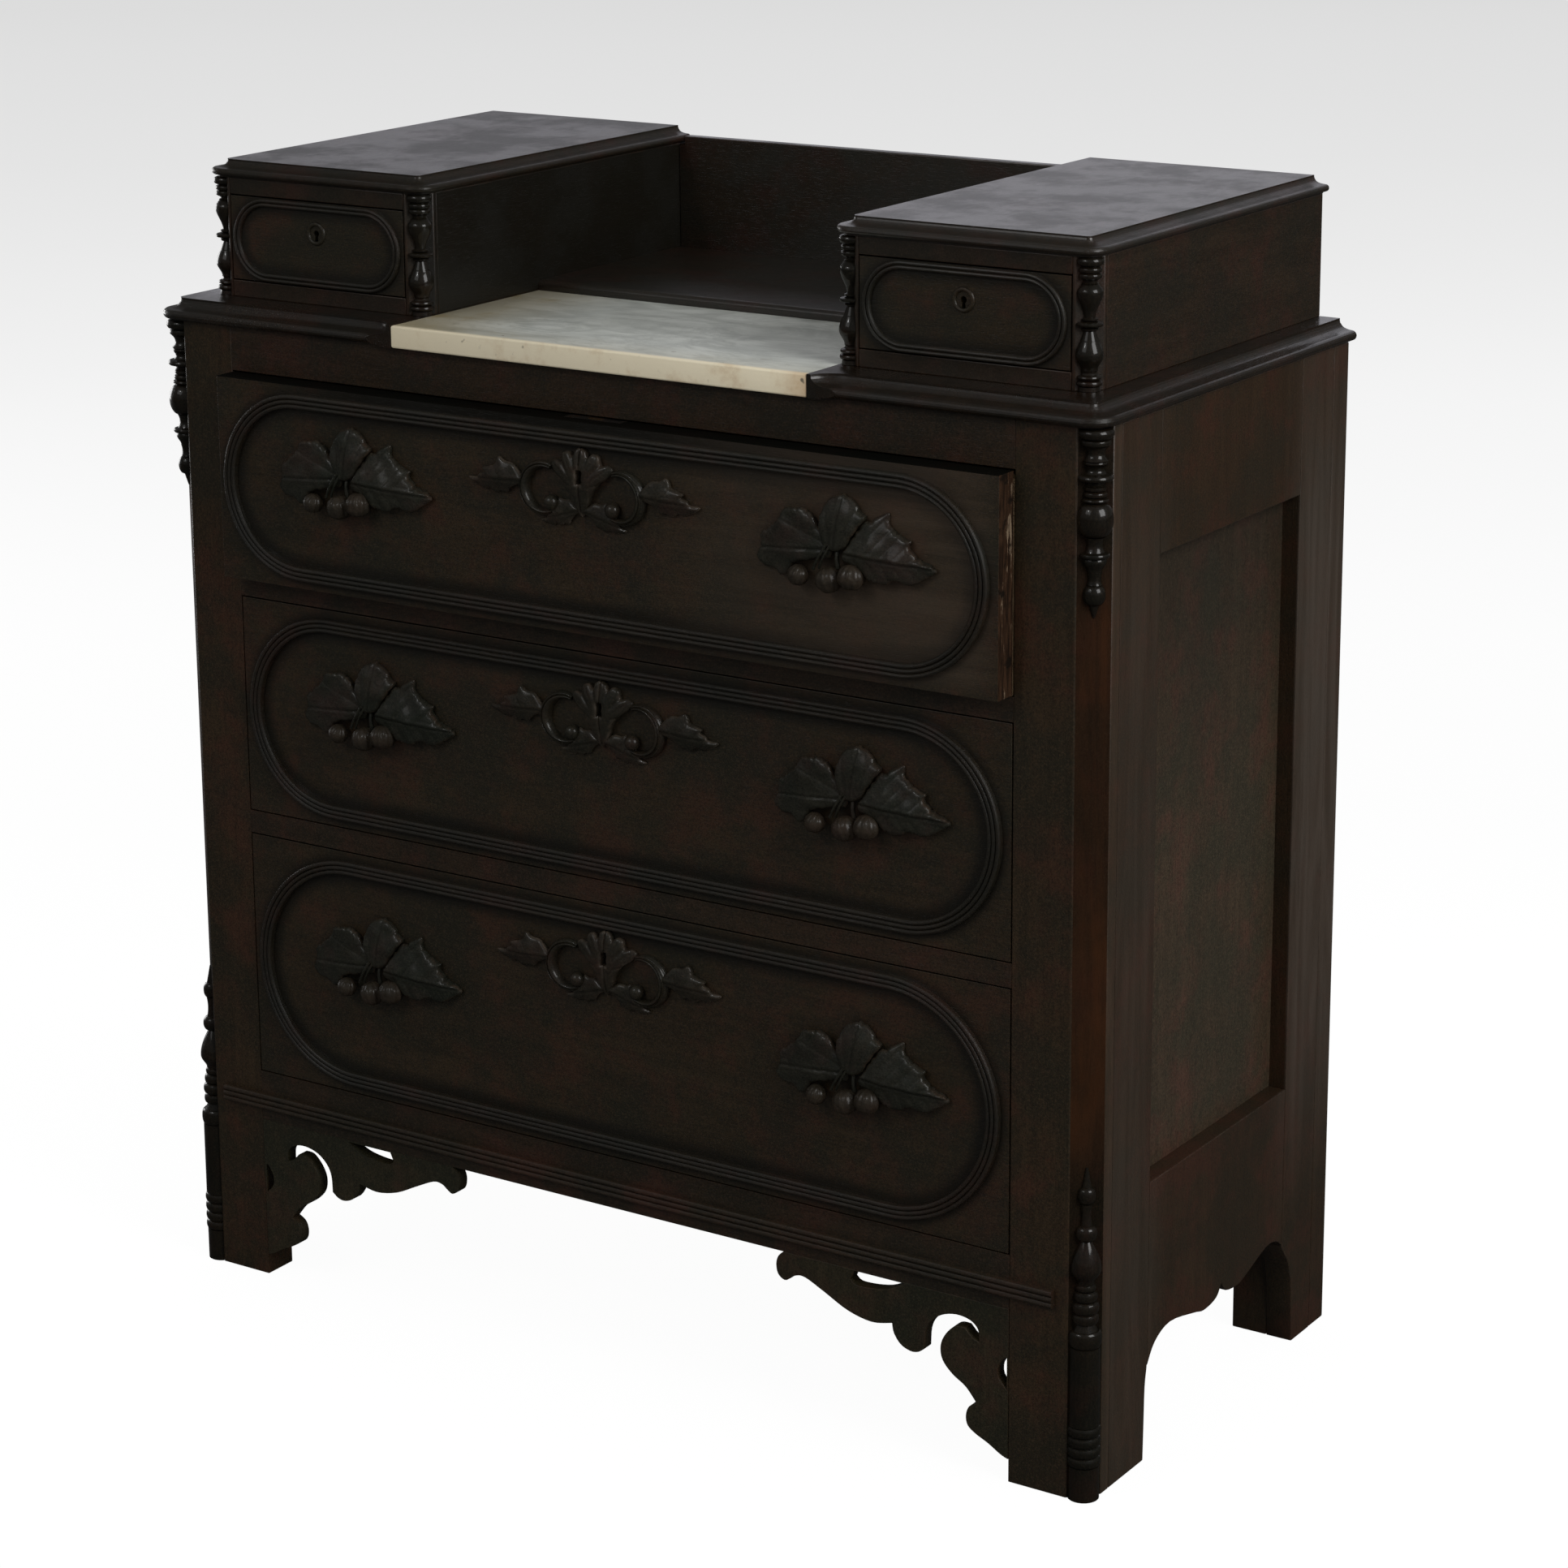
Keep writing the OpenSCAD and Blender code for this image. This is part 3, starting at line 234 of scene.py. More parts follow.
def linked(name, data):
    """An object of the scene with a mesh, a lamp or a camera in it."""
    thing = bpy.data.objects.new(name, data)
    bpy.context.scene.collection.objects.link(thing)
    return thing


def put(name, bm, material, body, stands_for, angle):
    """Turns finished mesh work into a piece that rides on its body. Edges that turn
    by less than the angle are smooth."""
    for edge in bm.edges:
        edge.smooth = len(edge.link_faces) == 2 and edge.calc_face_angle(4.0) < angle
    mesh = meshed(bm, name)
    mesh.materials.append(material)
    piece = linked(name, mesh)
    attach(piece, body)
    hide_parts(*stands_for)
    return piece


def eased(node, material, body, radius):
    """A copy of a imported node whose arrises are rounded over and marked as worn."""
    flat, crease, arris = 0.02, 0.6, 0.7
    bm = bmesh.new()
    bm.from_mesh(nodes[node].data)
    bmesh.ops.remove_doubles(bm, verts=bm.verts, dist=2e-6)
    bmesh.ops.dissolve_limit(bm, angle_limit=flat, verts=bm.verts, edges=bm.edges)
    sharp = [e for e in bm.edges
             if len(e.link_faces) == 2 and e.calc_face_angle(0.0) > arris and e.is_convex]
    rounds = set(bmesh.ops.bevel(bm, geom=sharp, offset=radius, offset_type="OFFSET",
                                 segments=2, profile=0.5, affect="EDGES", clamp_overlap=True,
                                 material=-1)["faces"])
    for face in bm.faces:
        face.smooth = face in rounds
    for edge in bm.edges:
        if flat < edge.calc_face_angle(0.0) < crease and not rounds.intersection(edge.link_faces):
            for face in edge.link_faces:
                face.smooth = True
    wear_and_highlight = bm.loops.layers.float.new("wear_and_highlight")
    for face in rounds:
        for loop in face.loops:
            loop[wear_and_highlight] = 1.0
    return put(node + "_piece", bm, material, body, [node], crease)


# Middle of a chamfer, as its distance from the chest's middle less its y
CHAMFER = 0.685


def on_chamfer(finish):
    """Where hands have rubbed the chamfer of a post between its turnings."""
    across = finish.axis("X").size() - finish.axis("Y") - CHAMFER
    band = across.rise(-0.004, 0.002)
    high = finish.axis("Z")
    blotch = finish.grain(finish.here(scale=(1, 1, 0.6)), 17.0, 4.0, 0.6).rise(0.36, 0.62)
    over_lower, under_upper = (0.27, 0.36), (0.76, 0.86)
    between = high.rise(*over_lower) * (1 - high.rise(*under_upper))
    return band * between * (0.48 + 0.52 * blotch)


def on_side(finish):
    """The outer face of a post, which has faded more than its front."""
    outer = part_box("front_post_right")[1].x
    return finish.axis("X").size().rise(outer - 0.0014, outer - 0.0004) * 0.45


post_walnut = walnut("post_walnut", "z", dark=(0.0185, 0.0120, 0.0056),
                     light=(0.0390, 0.0230, 0.0106), rub_and_highlight=(0.066, 0.0425, 0.0300),
                     wear_and_highlight=0.08, rubbed=on_side)
rubbed_walnut = walnut("rubbed_walnut", "z", dark=(0.0060, 0.0042, 0.0022),
                       light=(0.0140, 0.0086, 0.0044), rub_and_highlight=(0.047, 0.0150, 0.0042),
                       rubbed=on_chamfer, gloss=0.55, shine=0.06, coat=0.0)
for side in ("left", "right"):
    post = eased(f"front_post_{side}", post_walnut, "case", 0.0009)
    post.data.materials.append(rubbed_walnut)
    for face in post.data.polygons:
        if face.normal.y < -0.6 and abs(face.normal.x) > 0.6:
            face.material_index = 1


# ------------------------------------------------------------- rear posts, sides
# Each side is a frame of two stiles and two rails round a thin flat panel. The
# lower rail is sawn to a scallop, and the stiles run down as feet. Frame and panel
# are walnut, joined with glue, and the panel is set back from the frame's face.

def faded(finish):
    """Where daylight has bleached the outer faces of the rear posts and the stiles."""
    back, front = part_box("rear_post_right")[0].y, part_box("side_frame_right")[0].y
    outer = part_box("side_frame_right")[1].x
    y, z = finish.axis("Y"), finish.axis("Z")
    behind = y.rise(back - 0.07, back) * z.rise(0.10, 0.34) * 0.9
    outside = finish.axis("X").size().rise(outer - 0.0025, outer - 0.001)
    below = 1 - z.rise(0.74, 0.93) * 0.65
    return behind.most((1 - y.rise(front + 0.05, front + 0.11)) * 0.38) * outside * below


frame_walnut = walnut("frame_walnut", "z", dark=(0.021, 0.0116, 0.0054),
                      light=(0.034, 0.0190, 0.0090), rub_and_highlight=(0.062, 0.048, 0.037), wear_and_highlight=0.20,
                      rubbed=faded)
for side in ("left", "right"):
    eased(f"rear_post_{side}", frame_walnut, "case", 0.0015)
    eased(f"side_frame_{side}", frame_walnut, "case", 0.0010)


def under_the_rail(finish):
    """Darkens the upper part of a side panel, towards its top."""
    return finish.axis("Z").rise(0.52, 0.84) * 0.45


panel_walnut = walnut("panel_walnut", "z", dark=(0.034, 0.0232, 0.0136),
                      light=(0.056, 0.0378, 0.0220), gloss=0.42, grime_and_shade=under_the_rail)
for side in ("left", "right"):
    paint(f"side_panel_{side}", panel_walnut)


# --------------------------------------------------------- rails and base moulding
# The walnut rails between the drawers are flush with the posts. A moulding of
# three reeds is planted along the foot of the base rail.

rail_walnut = walnut("rail_walnut", "x", dark=(0.0150, 0.0100, 0.0052), light=(0.034, 0.0200, 0.0108))
eased("front_rails", rail_walnut, "case", 0.0008)
paint("base_moulding", rail_walnut)


# ----------------------------------------------------------------------- brackets
# Pierced scroll brackets, fretted with a saw from walnut board, and glued under the
# base rail and against the front posts.

bracket_walnut = walnut("bracket_walnut", "z", dark=(0.016, 0.0135, 0.0068),
                        light=(0.033, 0.0255, 0.0130))
for side in ("left", "right"):
    eased(f"bracket_{side}", bracket_walnut, "case", 0.0012)


# --------------------------------------------------------- runners, back, bearers
# Drawer runners, upright back boards and the bearers of the top, which the front
# hides: bare poplar, sawn and nailed, that has browned with age.

def poplar(name, along):
    """Bare wood, striped by its fibres and stained in places."""
    finish = Finish(name, IOR=1.45)
    board = finish.here(scale=ALONG[along])
    figure = finish.grain(board, 3.0, 6.0, 0.6, 0.9).rise(0.3, 0.7)
    fibre = finish.grain(board, 40.0, 3.0, 0.6)
    stain = finish.grain(finish.here(), 7.0, 4.0, 0.6).rise(0.5, 0.75)
    wood = finish.blend(figure, (0.20, 0.125, 0.065), (0.36, 0.245, 0.135))
    wood = finish.blend(fibre.rise(0.5, 0.75) * 0.4, wood, (0.13, 0.08, 0.04))
    wood = finish.blend(stain * 0.5, wood, (0.10, 0.06, 0.032))
    return finish.set(Base_Color=wood, Roughness=0.72 + 0.15 * fibre,
                      Normal=finish.bump(fibre, 0.0004))


poplar_upright = poplar("poplar_upright", "z")
poplar_deep = poplar("poplar_deep", "y")
eased("drawer_runners", poplar_deep, "case", 0.0006)
eased("back_boards", poplar_upright, "case", 0.0010)
eased("top_bearers", poplar_deep, "case", 0.0008)


# ----------------------------------------------------- platforms, shelf, backboard
# Two moulded walnut platforms carry the boxes. Between them, behind the marble,
# lie a raised shelf with a rounded nose and a plain upright board.

def thumbed(finish):
    """The brown that shows through at the front corners of the platforms."""
    outwards, backwards = (0.38, 0.50), (-0.246, -0.215)
    corner = finish.axis("X").size().rise(*outwards) * (1 - finish.axis("Y").rise(*backwards))
    return corner * finish.grain(finish.here(), 30.0, 4.0, 0.7).rise(0.40, 0.60) * 0.75


deck_walnut = walnut("deck_walnut", "y", rub_and_highlight=(0.052, 0.022, 0.012), rubbed=thumbed,
                     dark=(0.0065, 0.0042, 0.0020), light=(0.0155, 0.0094, 0.0046),
                     gloss=0.25, shine=0.45, coat=0.3, polish=0.14)
for side in ("left", "right"):
    paint(f"platform_{side}", deck_walnut)
shelf_walnut = walnut("shelf_walnut", "x", gloss=0.30, shine=0.5, coat=0.25)
paint("well_shelf", shelf_walnut)
eased("backboard", shelf_walnut, "case", 0.0012)


# -------------------------------------------------------------------------- marble
# A white marble slab, 20 mm thick, laid in the well without glue. Its face is
# honed and grey-clouded, and its worn front edge has yellowed.

marble = Finish("marble", IOR=1.5)
drift = marble.here(scale=(1.0, 2.2, 1.0), turn=(0, 0, 0.5))
cloud = marble.grain(drift, 9.0, 8.0, 0.62, 1.1)
vein = (marble.grain(drift, 4.5, 10.0, 0.66, 2.2) - 0.5).size().rise(0.0, 0.045)
speck = marble.grain(marble.here(), 160.0, 3.0, 0.7)
stone = marble.blend(cloud.rise(0.32, 0.68), (0.40, 0.42, 0.39), (0.60, 0.62, 0.58))
stone = marble.blend((1 - vein) * 0.35, stone, (0.26, 0.28, 0.26))
NOSE, NEAR_FRONT = (-0.2172, -0.2095), (-0.217, -0.160)
LEFT_END, RIGHT_END = (-0.22, -0.10), (0.185, 0.235)
front_edge = 1 - marble.axis("Y").rise(*NOSE)
near_front = 1 - marble.axis("Y").rise(*NEAR_FRONT)
stain = marble.grain(marble.here(), 22.0, 6.0, 0.7).rise(0.5, 0.72)
at_left = 1 - marble.axis("X").rise(*LEFT_END)
at_right = marble.axis("X").rise(*RIGHT_END)
yellow = (at_left * 1.3 + near_front * 0.40 + 0.08) * (0.50 + 0.50 * stain)
stone = marble.blend(yellow.clear(), stone, (0.325, 0.265, 0.145))
stone = marble.blend(front_edge * 0.9, stone, (0.78, 0.69, 0.50))
rusty = (front_edge * (stain * 0.4 + at_right * 0.65)).clear()
stone = marble.blend(rusty, stone, (0.42, 0.24, 0.10))
chips = marble.grain(marble.here(), 60.0, 2.0, 0.5).rise(0.66, 0.70)
stone = marble.blend(chips * near_front, stone, (0.16, 0.13, 0.09))
stone = marble.blend(speck.rise(0.66, 0.78) * 0.35, stone, (0.22, 0.19, 0.14))
marble_stone = marble.set(Base_Color=stone, Roughness=0.30 + 0.2 * cloud,
                          Normal=marble.bump(speck, 0.0002))
eased("marble_slab", marble_stone, "case", 0.0018)


# --------------------------------------------------------------------------- boxes
# Each handkerchief box has thin walnut sides, corner posts that are chamfered
# like the case's, and a moulded top board that is glued and nailed down.

def shade_in_the_well(finish):
    """Painted shade on the sides that face each other over the marble, which turns them near black."""
    inner_faces = (0.228, 0.236)
    return (1 - finish.axis("X").size().rise(*inner_faces)) * 0.92


# The box sides that face the well are blackened as painted shade.
box_walnut = walnut("box_walnut", "y", dark=(0.013, 0.0085, 0.0045), light=(0.028, 0.0175, 0.0098),
                    grime_and_shade=shade_in_the_well)
top_walnut = {"left": walnut("left_top_walnut", "y", gloss=0.32, shine=0.27, coat=0.17),
              "right": walnut("right_top_walnut", "y", gloss=0.28, shine=0.52, coat=0.25)}
for side in ("left", "right"):
    eased(f"box_case_{side}", box_walnut, "case", 0.0008)
    paint(f"box_top_{side}", top_walnut[side])


# ------------------------------------------------------------------ split turnings
# Walnut turned in the round on a lathe, sawn down the middle and glued by the flat
# to the chamfers of the posts and of the boxes.

turned_walnut = walnut("turned_walnut", "z", dark=(0.0052, 0.0042, 0.0024),
                       light=(0.0125, 0.0088, 0.0048), gloss=0.40, shine=0.10, coat=0.48,
                       polish=0.10)
MILLIMETRE = 0.001


# Each part of a turning is its length and its radius at a share of that length.
def bead(length, waist, radius):
    return length, lambda t: waist + (radius - waist) * math.sqrt(max(0.0, 1 - (2 * t - 1) ** 2))


def cove(length, end, waist):
    return length, lambda t: waist + (end - waist) * (2 * t - 1) ** 2


def taper(length, first, last):
    return length, lambda t: first + (last - first) * t


def vase(length, first, belly, last, at=0.35):
    """A body that is widest at a share of its length and draws in to both ends."""
    def radius(t):
        if t < at:
            return first + (belly - first) * math.sin(math.pi / 2 * t / at)
        return last + (belly - last) * (0.5 + 0.5 * math.cos(math.pi * (t - at) / (1 - at)))
    return length, radius


def turned(parts):
    """Outline of a turning as (distance from its top, radius), in millimetres."""
    rings_apart, thinnest = 1.1, 0.4
    outline, down = [], 0.0
    for length, radius in parts:
        steps = max(2, round(length / rings_apart))
        for i in range(steps + 1):
            t = i / steps
            outline.append((down + length * (0.001 + 0.998 * t), max(thinnest, radius(t))))
        down += length
    return [(0.0, 0.0)] + outline + [(down, 0.0)]


UPPER = turned([
    bead(9.0, 11.0, 15.2), bead(6.0, 10.5, 12.6), cove(11.5, 10.8, 7.8), bead(4.0, 8.0, 10.0),
    cove(6.5, 9.6, 7.8), bead(6.5, 10.0, 15.0), cove(3.5, 9.0, 7.6), bead(4.5, 7.6, 9.4),
    bead(5.0, 8.0, 10.2), bead(4.0, 9.0, 11.4), bead(28.5, 7.0, 15.5), cove(12.0, 8.6, 6.8),
    bead(5.5, 9.0, 12.8), vase(11.0, 9.6, 10.2, 6.4, 0.2), cove(10.5, 6.6, 5.6),
    bead(17.0, 4.6, 9.6), taper(10.5, 4.4, 1.2)])
LOWER = turned([
    taper(17.5, 1.2, 4.6), bead(15.0, 4.6, 8.2), cove(19.5, 5.6, 4.6), bead(14.5, 5.2, 9.8),
    vase(39.0, 5.4, 13.6, 8.0, 0.66), bead(6.5, 7.4, 9.4), bead(9.5, 8.4, 10.8),
    bead(10.5, 9.4, 12.2), bead(10.0, 9.2, 11.8), taper(6.0, 8.6, 11.0), bead(15.0, 12.6, 14.8),
    taper(73.0, 13.6, 13.8), bead(9.5, 12.6, 15.0), bead(9.5, 12.6, 15.0), bead(9.5, 12.6, 15.0),
    bead(9.5, 12.6, 15.0), taper(31.0, 13.9, 13.9)])
SHORT = turned([
    bead(7.2, 8.6, 11.6), cove(0.8, 8.2, 7.8), bead(5.0, 8.0, 10.0), bead(5.2, 8.0, 10.0),
    cove(3.6, 7.4, 5.8), vase(28.0, 6.4, 11.0, 4.8, 0.26), bead(3.2, 5.0, 7.2),
    bead(5.0, 7.0, 11.6), bead(3.2, 5.2, 7.4), taper(8.2, 4.8, 7.8),
    vase(24.6, 7.8, 11.8, 7.0, 0.5), cove(3.2, 7.2, 6.4), bead(4.6, 7.6, 10.6),
    bead(5.4, 8.0, 11.2), taper(3.6, 9.0, 9.4)])


def add_to(whole, part, matrix=None):
    """Moves a finished part of a piece into the piece."""
    if matrix:
        part.transform(matrix)
    bmesh.ops.recalc_face_normals(part, faces=part.faces)
    mesh = meshed(part, "part")
    whole.from_mesh(mesh)
    bpy.data.meshes.remove(mesh)


def rounded(bm):
    """Marks every face as smooth, and leaves the creases to put()."""
    for face in bm.faces:
        face.smooth = True
    return bm


def split_turnings(node, kinds):
    """Half turnings for both sides. A kind: outline, top, foot, axis x, axis y, and 1
    where the right one faces outwards or -1 where it faces the well."""
    whole = bmesh.new()
    for outline, top, foot, x, y, faces in kinds:
        size = (top - foot) / outline[-1][0]
        for side in (-1, 1):
            half = bmesh.new()
            line = [half.verts.new((r * MILLIMETRE, 0.0, top - z * size)) for z, r in outline]
            edges = [half.edges.new(pair) for pair in zip(line, line[1:])]
            bmesh.ops.spin(half, geom=line + edges, cent=(0, 0, 0), axis=(0, 0, 1),
                           angle=math.pi, steps=24, use_merge=False)
            bmesh.ops.remove_doubles(half, verts=half.verts, dist=1e-6)
            bmesh.ops.holes_fill(half, edges=half.edges, sides=0)
            turn = Matrix.Rotation(math.radians(45 * side * faces + 180), 4, "Z")
            add_to(whole, half, Matrix.Translation((side * x, y, 0)) @ turn)
    put(node + "_piece", rounded(whole), turned_walnut, "case", [node], 0.5)


POST_AXIS = (0.48875, -0.19625)
BOX_OUTER_AXIS, BOX_INNER_AXIS = (0.4610, -0.1585), (0.2320, -0.1585)
BOX_TOP, BOX_FOOT = 1.0786, 0.9678
split_turnings("post_turnings", [(UPPER, 0.9466, 0.7870, *POST_AXIS, 1),
                                 (LOWER, 0.3050, 0.0, *POST_AXIS, 1)])
split_turnings("box_turnings", [(SHORT, BOX_TOP, BOX_FOOT, *BOX_OUTER_AXIS, 1),
                                (SHORT, BOX_TOP, BOX_FOOT, *BOX_INNER_AXIS, -1)])


# --------------------------------------------------------------------- long drawers
# A walnut front with a reeded racetrack moulding glued on it, and a poplar box of
# sides, back and bottom behind. The top drawer's right end has lost its varnish.

LONG = ("bottom_drawer", "middle_drawer", "top_drawer")
SMALL = ("left_box_drawer", "right_box_drawer")


def grime_and_shade(finish):
    """Black varnish and dirt along both sides of a racetrack, painted shade on a front's up-facing
    faces, and a painted shadow of the rail above on the top drawer's front.
    """
    x, z = finish.axis("X"), finish.axis("Z")
    # Faces of a front that look upwards are darkened as painted shade.
    upward = finish.add("SeparateXYZ", {"Vector": finish.add("NewGeometry", out="Normal")}, out="Z")
    share = upward.rise(0.5, 0.9) * 0.8
    reach = 0.011
    for drawer in LONG + SMALL:
        low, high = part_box(f"{drawer}_moulding")
        tall = (high.z - low.z) / 2
        straight = (high.x - low.x) / 2 - tall
        reeds = 0.009 if drawer in LONG else 0.005      # half the moulding's width
        over = ((x - (low.x + high.x) / 2).size() - straight).most(0.0)
        up = z - (low.z + high.z) / 2
        away = ((over * over + up * up) ** 0.5 - (tall - reeds)).size()
        share = share.most((1 - away.rise(0.8 * reeds, reeds + reach)) * 0.75)
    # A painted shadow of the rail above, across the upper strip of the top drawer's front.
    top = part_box("top_drawer_front")[1].z
    band = z.rise(top - 0.017, top - 0.006) * (1 - z.rise(top + 0.002, top + 0.004))
    band = band * x.rise(-0.44, -0.22) * (1 - x.rise(0.24, 0.46))
    return share.most(band * 0.97)


def sunned(finish):
    """The right half of the top drawer's front has faded."""
    x, z = finish.axis("X"), finish.axis("Z")
    left, right, foot, top = (0.02, 0.30), (0.385, 0.43), (0.70, 0.74), (0.93, 0.95)
    inside = x.rise(*left) * (1 - x.rise(*right))
    return inside * z.rise(*foot) * (1 - z.rise(*top)) * 0.65


# The fronts carry dirt by the racetracks, painted shade on their up-facing faces and a painted shadow
# under the rail.
front_walnut = walnut("front_walnut", "x", dark=(0.0155, 0.0112, 0.0054),
                      light=(0.0335, 0.0208, 0.0096), rub_and_highlight=(0.064, 0.043, 0.027), gloss=0.40,
                      wear_and_highlight=0.25, rubbed=sunned, grime_and_shade=grime_and_shade)
reed_walnut = walnut("reed_walnut", "x", dark=(0.0095, 0.0074, 0.0042), light=(0.0200, 0.0145, 0.0085),
                     gloss=0.34, shine=0.4, coat=0.4, polish=0.16)
# A near black finish that paints shade on the top drawer front's upper faces.
shaded_top = walnut("shaded_top_walnut", "x", dark=(0.0022, 0.0020, 0.0012), light=(0.0040, 0.0034, 0.0020),
               gloss=0.75, wear_and_highlight=0.0, shine=0.05, coat=0.0)
end_grain = Finish("end_grain", IOR=1.45, Specular_IOR_Level=0.1)
streak = end_grain.grain(end_grain.here(scale=(9.0, 9.0, 1.0)), 26.0, 5.0, 0.7)
patch = end_grain.grain(end_grain.here(scale=(2.0, 2.0, 1.0)), 24.0, 4.0, 0.65)
bare = end_grain.blend(streak.rise(0.35, 0.66), (0.010, 0.0052, 0.0028), (0.042, 0.0205, 0.0102))
bare = end_grain.blend((patch * streak * 2).rise(0.60, 0.70), bare, (0.18, 0.130, 0.085))
bare = end_grain.blend(1 - end_grain.grain(end_grain.here(), 60.0, 3.0).rise(0.34, 0.46), bare,
                       (0.008, 0.005, 0.003))
bare_walnut = end_grain.set(Base_Color=bare, Roughness=0.55 + 0.25 * streak,
                            Normal=end_grain.bump(streak, 0.0006))
for drawer in LONG:
    front = eased(f"{drawer}_front", front_walnut, drawer, 0.0012)
    eased(f"{drawer}_box", poplar_deep, drawer, 0.0008)
    paint(f"{drawer}_moulding", reed_walnut)
    if drawer == "top_drawer":
        front.data.materials.append(bare_walnut)
        front.data.materials.append(shaded_top)
        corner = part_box("top_drawer_front")[1]
        for face in front.data.polygons:
            if face.center.x > corner.x - 0.0002:
                face.material_index = 1
            # The front's up-facing top faces take the painted shade finish.
            elif face.center.z > corner.z - 0.0010:
                face.material_index = 2


# --------------------------------------------------------------------- carved pulls
# Two pulls to a drawer, each carved from a block of walnut and glued on. A broad
# leaf, a fan-like one and a long folded one spread over three nuts on short stems.

# Here and on the escutcheons, measures are millimetres from the pull's or the
# keyhole's own middle, and y runs into the drawer.

def on_husks(finish):
    """The nuts, which are browner and dirtier than the leaves."""
    return finish.add("Attribute", attribute_name="husk", out="Fac") * 0.36


# The light rubbed colour on the carved rims is partly edge wear and partly a painted highlight.
carved_walnut = walnut("carved_walnut", "x", grime_and_shade=on_husks, dark=(0.0105, 0.0108, 0.0070),
                       light=(0.0225, 0.0205, 0.0138), rub_and_highlight=(0.060, 0.036, 0.022), gloss=0.44,
                       wear_and_highlight=0.6, rubbed=on_husks, shine=0.16, coat=0.30, polish=0.19, tooled=5.0)


# noise_vector's offsets come from the clock unless they are seeded
noise.seed_set(3)


def closed_curve(corners, steps=4, ragged=0.0):
    """A smooth closed outline through its corners, or a slightly ragged one."""
    outline = []
    for i in range(len(corners)):
        a, b, c, d = (Vector(corners[(i + k) % len(corners)]) for k in (-1, 0, 1, 2))
        for k in range(steps):
            t = k / steps
            outline.append(0.5 * (2 * b + (c - a) * t + (2 * a - 5 * b + 4 * c - d) * t * t
                                  + (3 * b - a - 3 * c + d) * t ** 3))
    if ragged:
        for spot in outline:
            shift = noise.noise_vector(Vector((spot.x * 0.4, spot.y * 0.4, 0.0))) * ragged
            spot += Vector((shift.x, shift.y))
    return outline


def bump_at(distance, width):
    """1 on a line and next to nothing a few widths from it."""
    return math.exp(-(distance / width) ** 2)


def carved(outline, height, lift=0.6, undercut=0.06, roll=2.4):
    """A block cut to an outline, its face raised to height(x, z) and its sides cut under.

    Its back is lift off the front, and its face rolls over by roll at its rim."""
    grid, first_cut = 1.0, 0.63
    block = bmesh.new()
    block.faces.new([block.verts.new((x, 0.0, z)) for x, z in outline])
    for axis in (0, 2):
        low = min(v.co[axis] for v in block.verts)
        high = max(v.co[axis] for v in block.verts)
        for i in range(int((high - low) / grid)):
            place, across = Vector(), Vector()
            place[axis] = low + (i + first_cut) * grid
            across[axis] = 1.0
            bmesh.ops.bisect_plane(block, geom=block.verts[:] + block.edges[:] + block.faces[:],
                                   dist=0.02, plane_co=place, plane_no=across)
    rim = [v.co.copy() for v in block.verts if v.is_boundary]
    near = kdtree.KDTree(len(rim))
    for i, spot in enumerate(rim):
        near.insert(spot, i)
    near.balance()
    middle = sum((Vector(p) for p in outline), Vector((0, 0))) / len(outline)
    made = bmesh.ops.extrude_face_region(block, geom=block.faces[:])["geom"]
    top = {v for v in made if isinstance(v, bmesh.types.BMVert)}
    # The rims' share of the light rubbed colour: worn edges, and in part a painted highlight.
    wear_and_highlight = block.loops.layers.float.new("wear_and_highlight")
    for vert in block.verts:
        x, z = vert.co.x, vert.co.z
        if vert in top:
            inside = near.find(vert.co)[2]
            vert.co.y = -max(height(x, z) - roll * math.exp(-inside / 1.1), lift + 0.4)
            for loop in vert.link_loops:
                loop[wear_and_highlight] = math.exp(-inside / 0.9)
        else:
            vert.co.x += (middle.x - x) * undercut
            vert.co.z += (middle.y - z) * undercut
            vert.co.y = -lift
    return block


def leaf(base, tip, crest, drop, folds, rib, deep, seed, veins=9.0, fan=0.0, step=0.0):
    """Height of a carved leaf whose middle rib runs from base to tip.

    It is highest at the crest, near its base, and lies lowest at drop. Its two
    halves fall away by the folds. Its veins leave the rib every so many
    millimetres, or spread as a fan from its base by an angle."""
    start = Vector(base)
    along = Vector(tip) - start
    length = along.length
    along.normalize()

    def height(x, z):
        spot = Vector((x, z)) - start
        u = spot.dot(along)
        v = along.x * spot.y - along.y * spot.x
        side = abs(v)
        t = max(-0.2, min(1.15, u / length))
        h = drop + (crest - drop) * math.cos((t - 0.3) * 1.8)
        h -= folds[0 if v > 0 else 1] * side
        h -= rib * bump_at(side, 1.1) * min(1.0, max(0.0, 1.25 - t) * 3)
        h += 0.3 * rib * bump_at(side - 2.8, 1.5) + step * math.tanh(v)
        if fan:
            reach = math.hypot(u + 8, v)
            turn = math.atan2(v, u + 8) / fan
            off = (turn - round(turn)) * fan * reach
            out = min(1.0, max(0.0, reach - 10) / 12)
        else:
            turn = (u - 0.8 * side) / veins
            off = (turn - round(turn)) * veins
            out = min(1.0, side / 5.0)
        h -= deep * out * bump_at(off, 0.9)
        h += deep * out * (0.5 - 0.5 * math.cos(2 * math.pi * turn))
        return h + 1.6 * noise.noise(Vector((x * 0.07, z * 0.07, seed)))

    return height


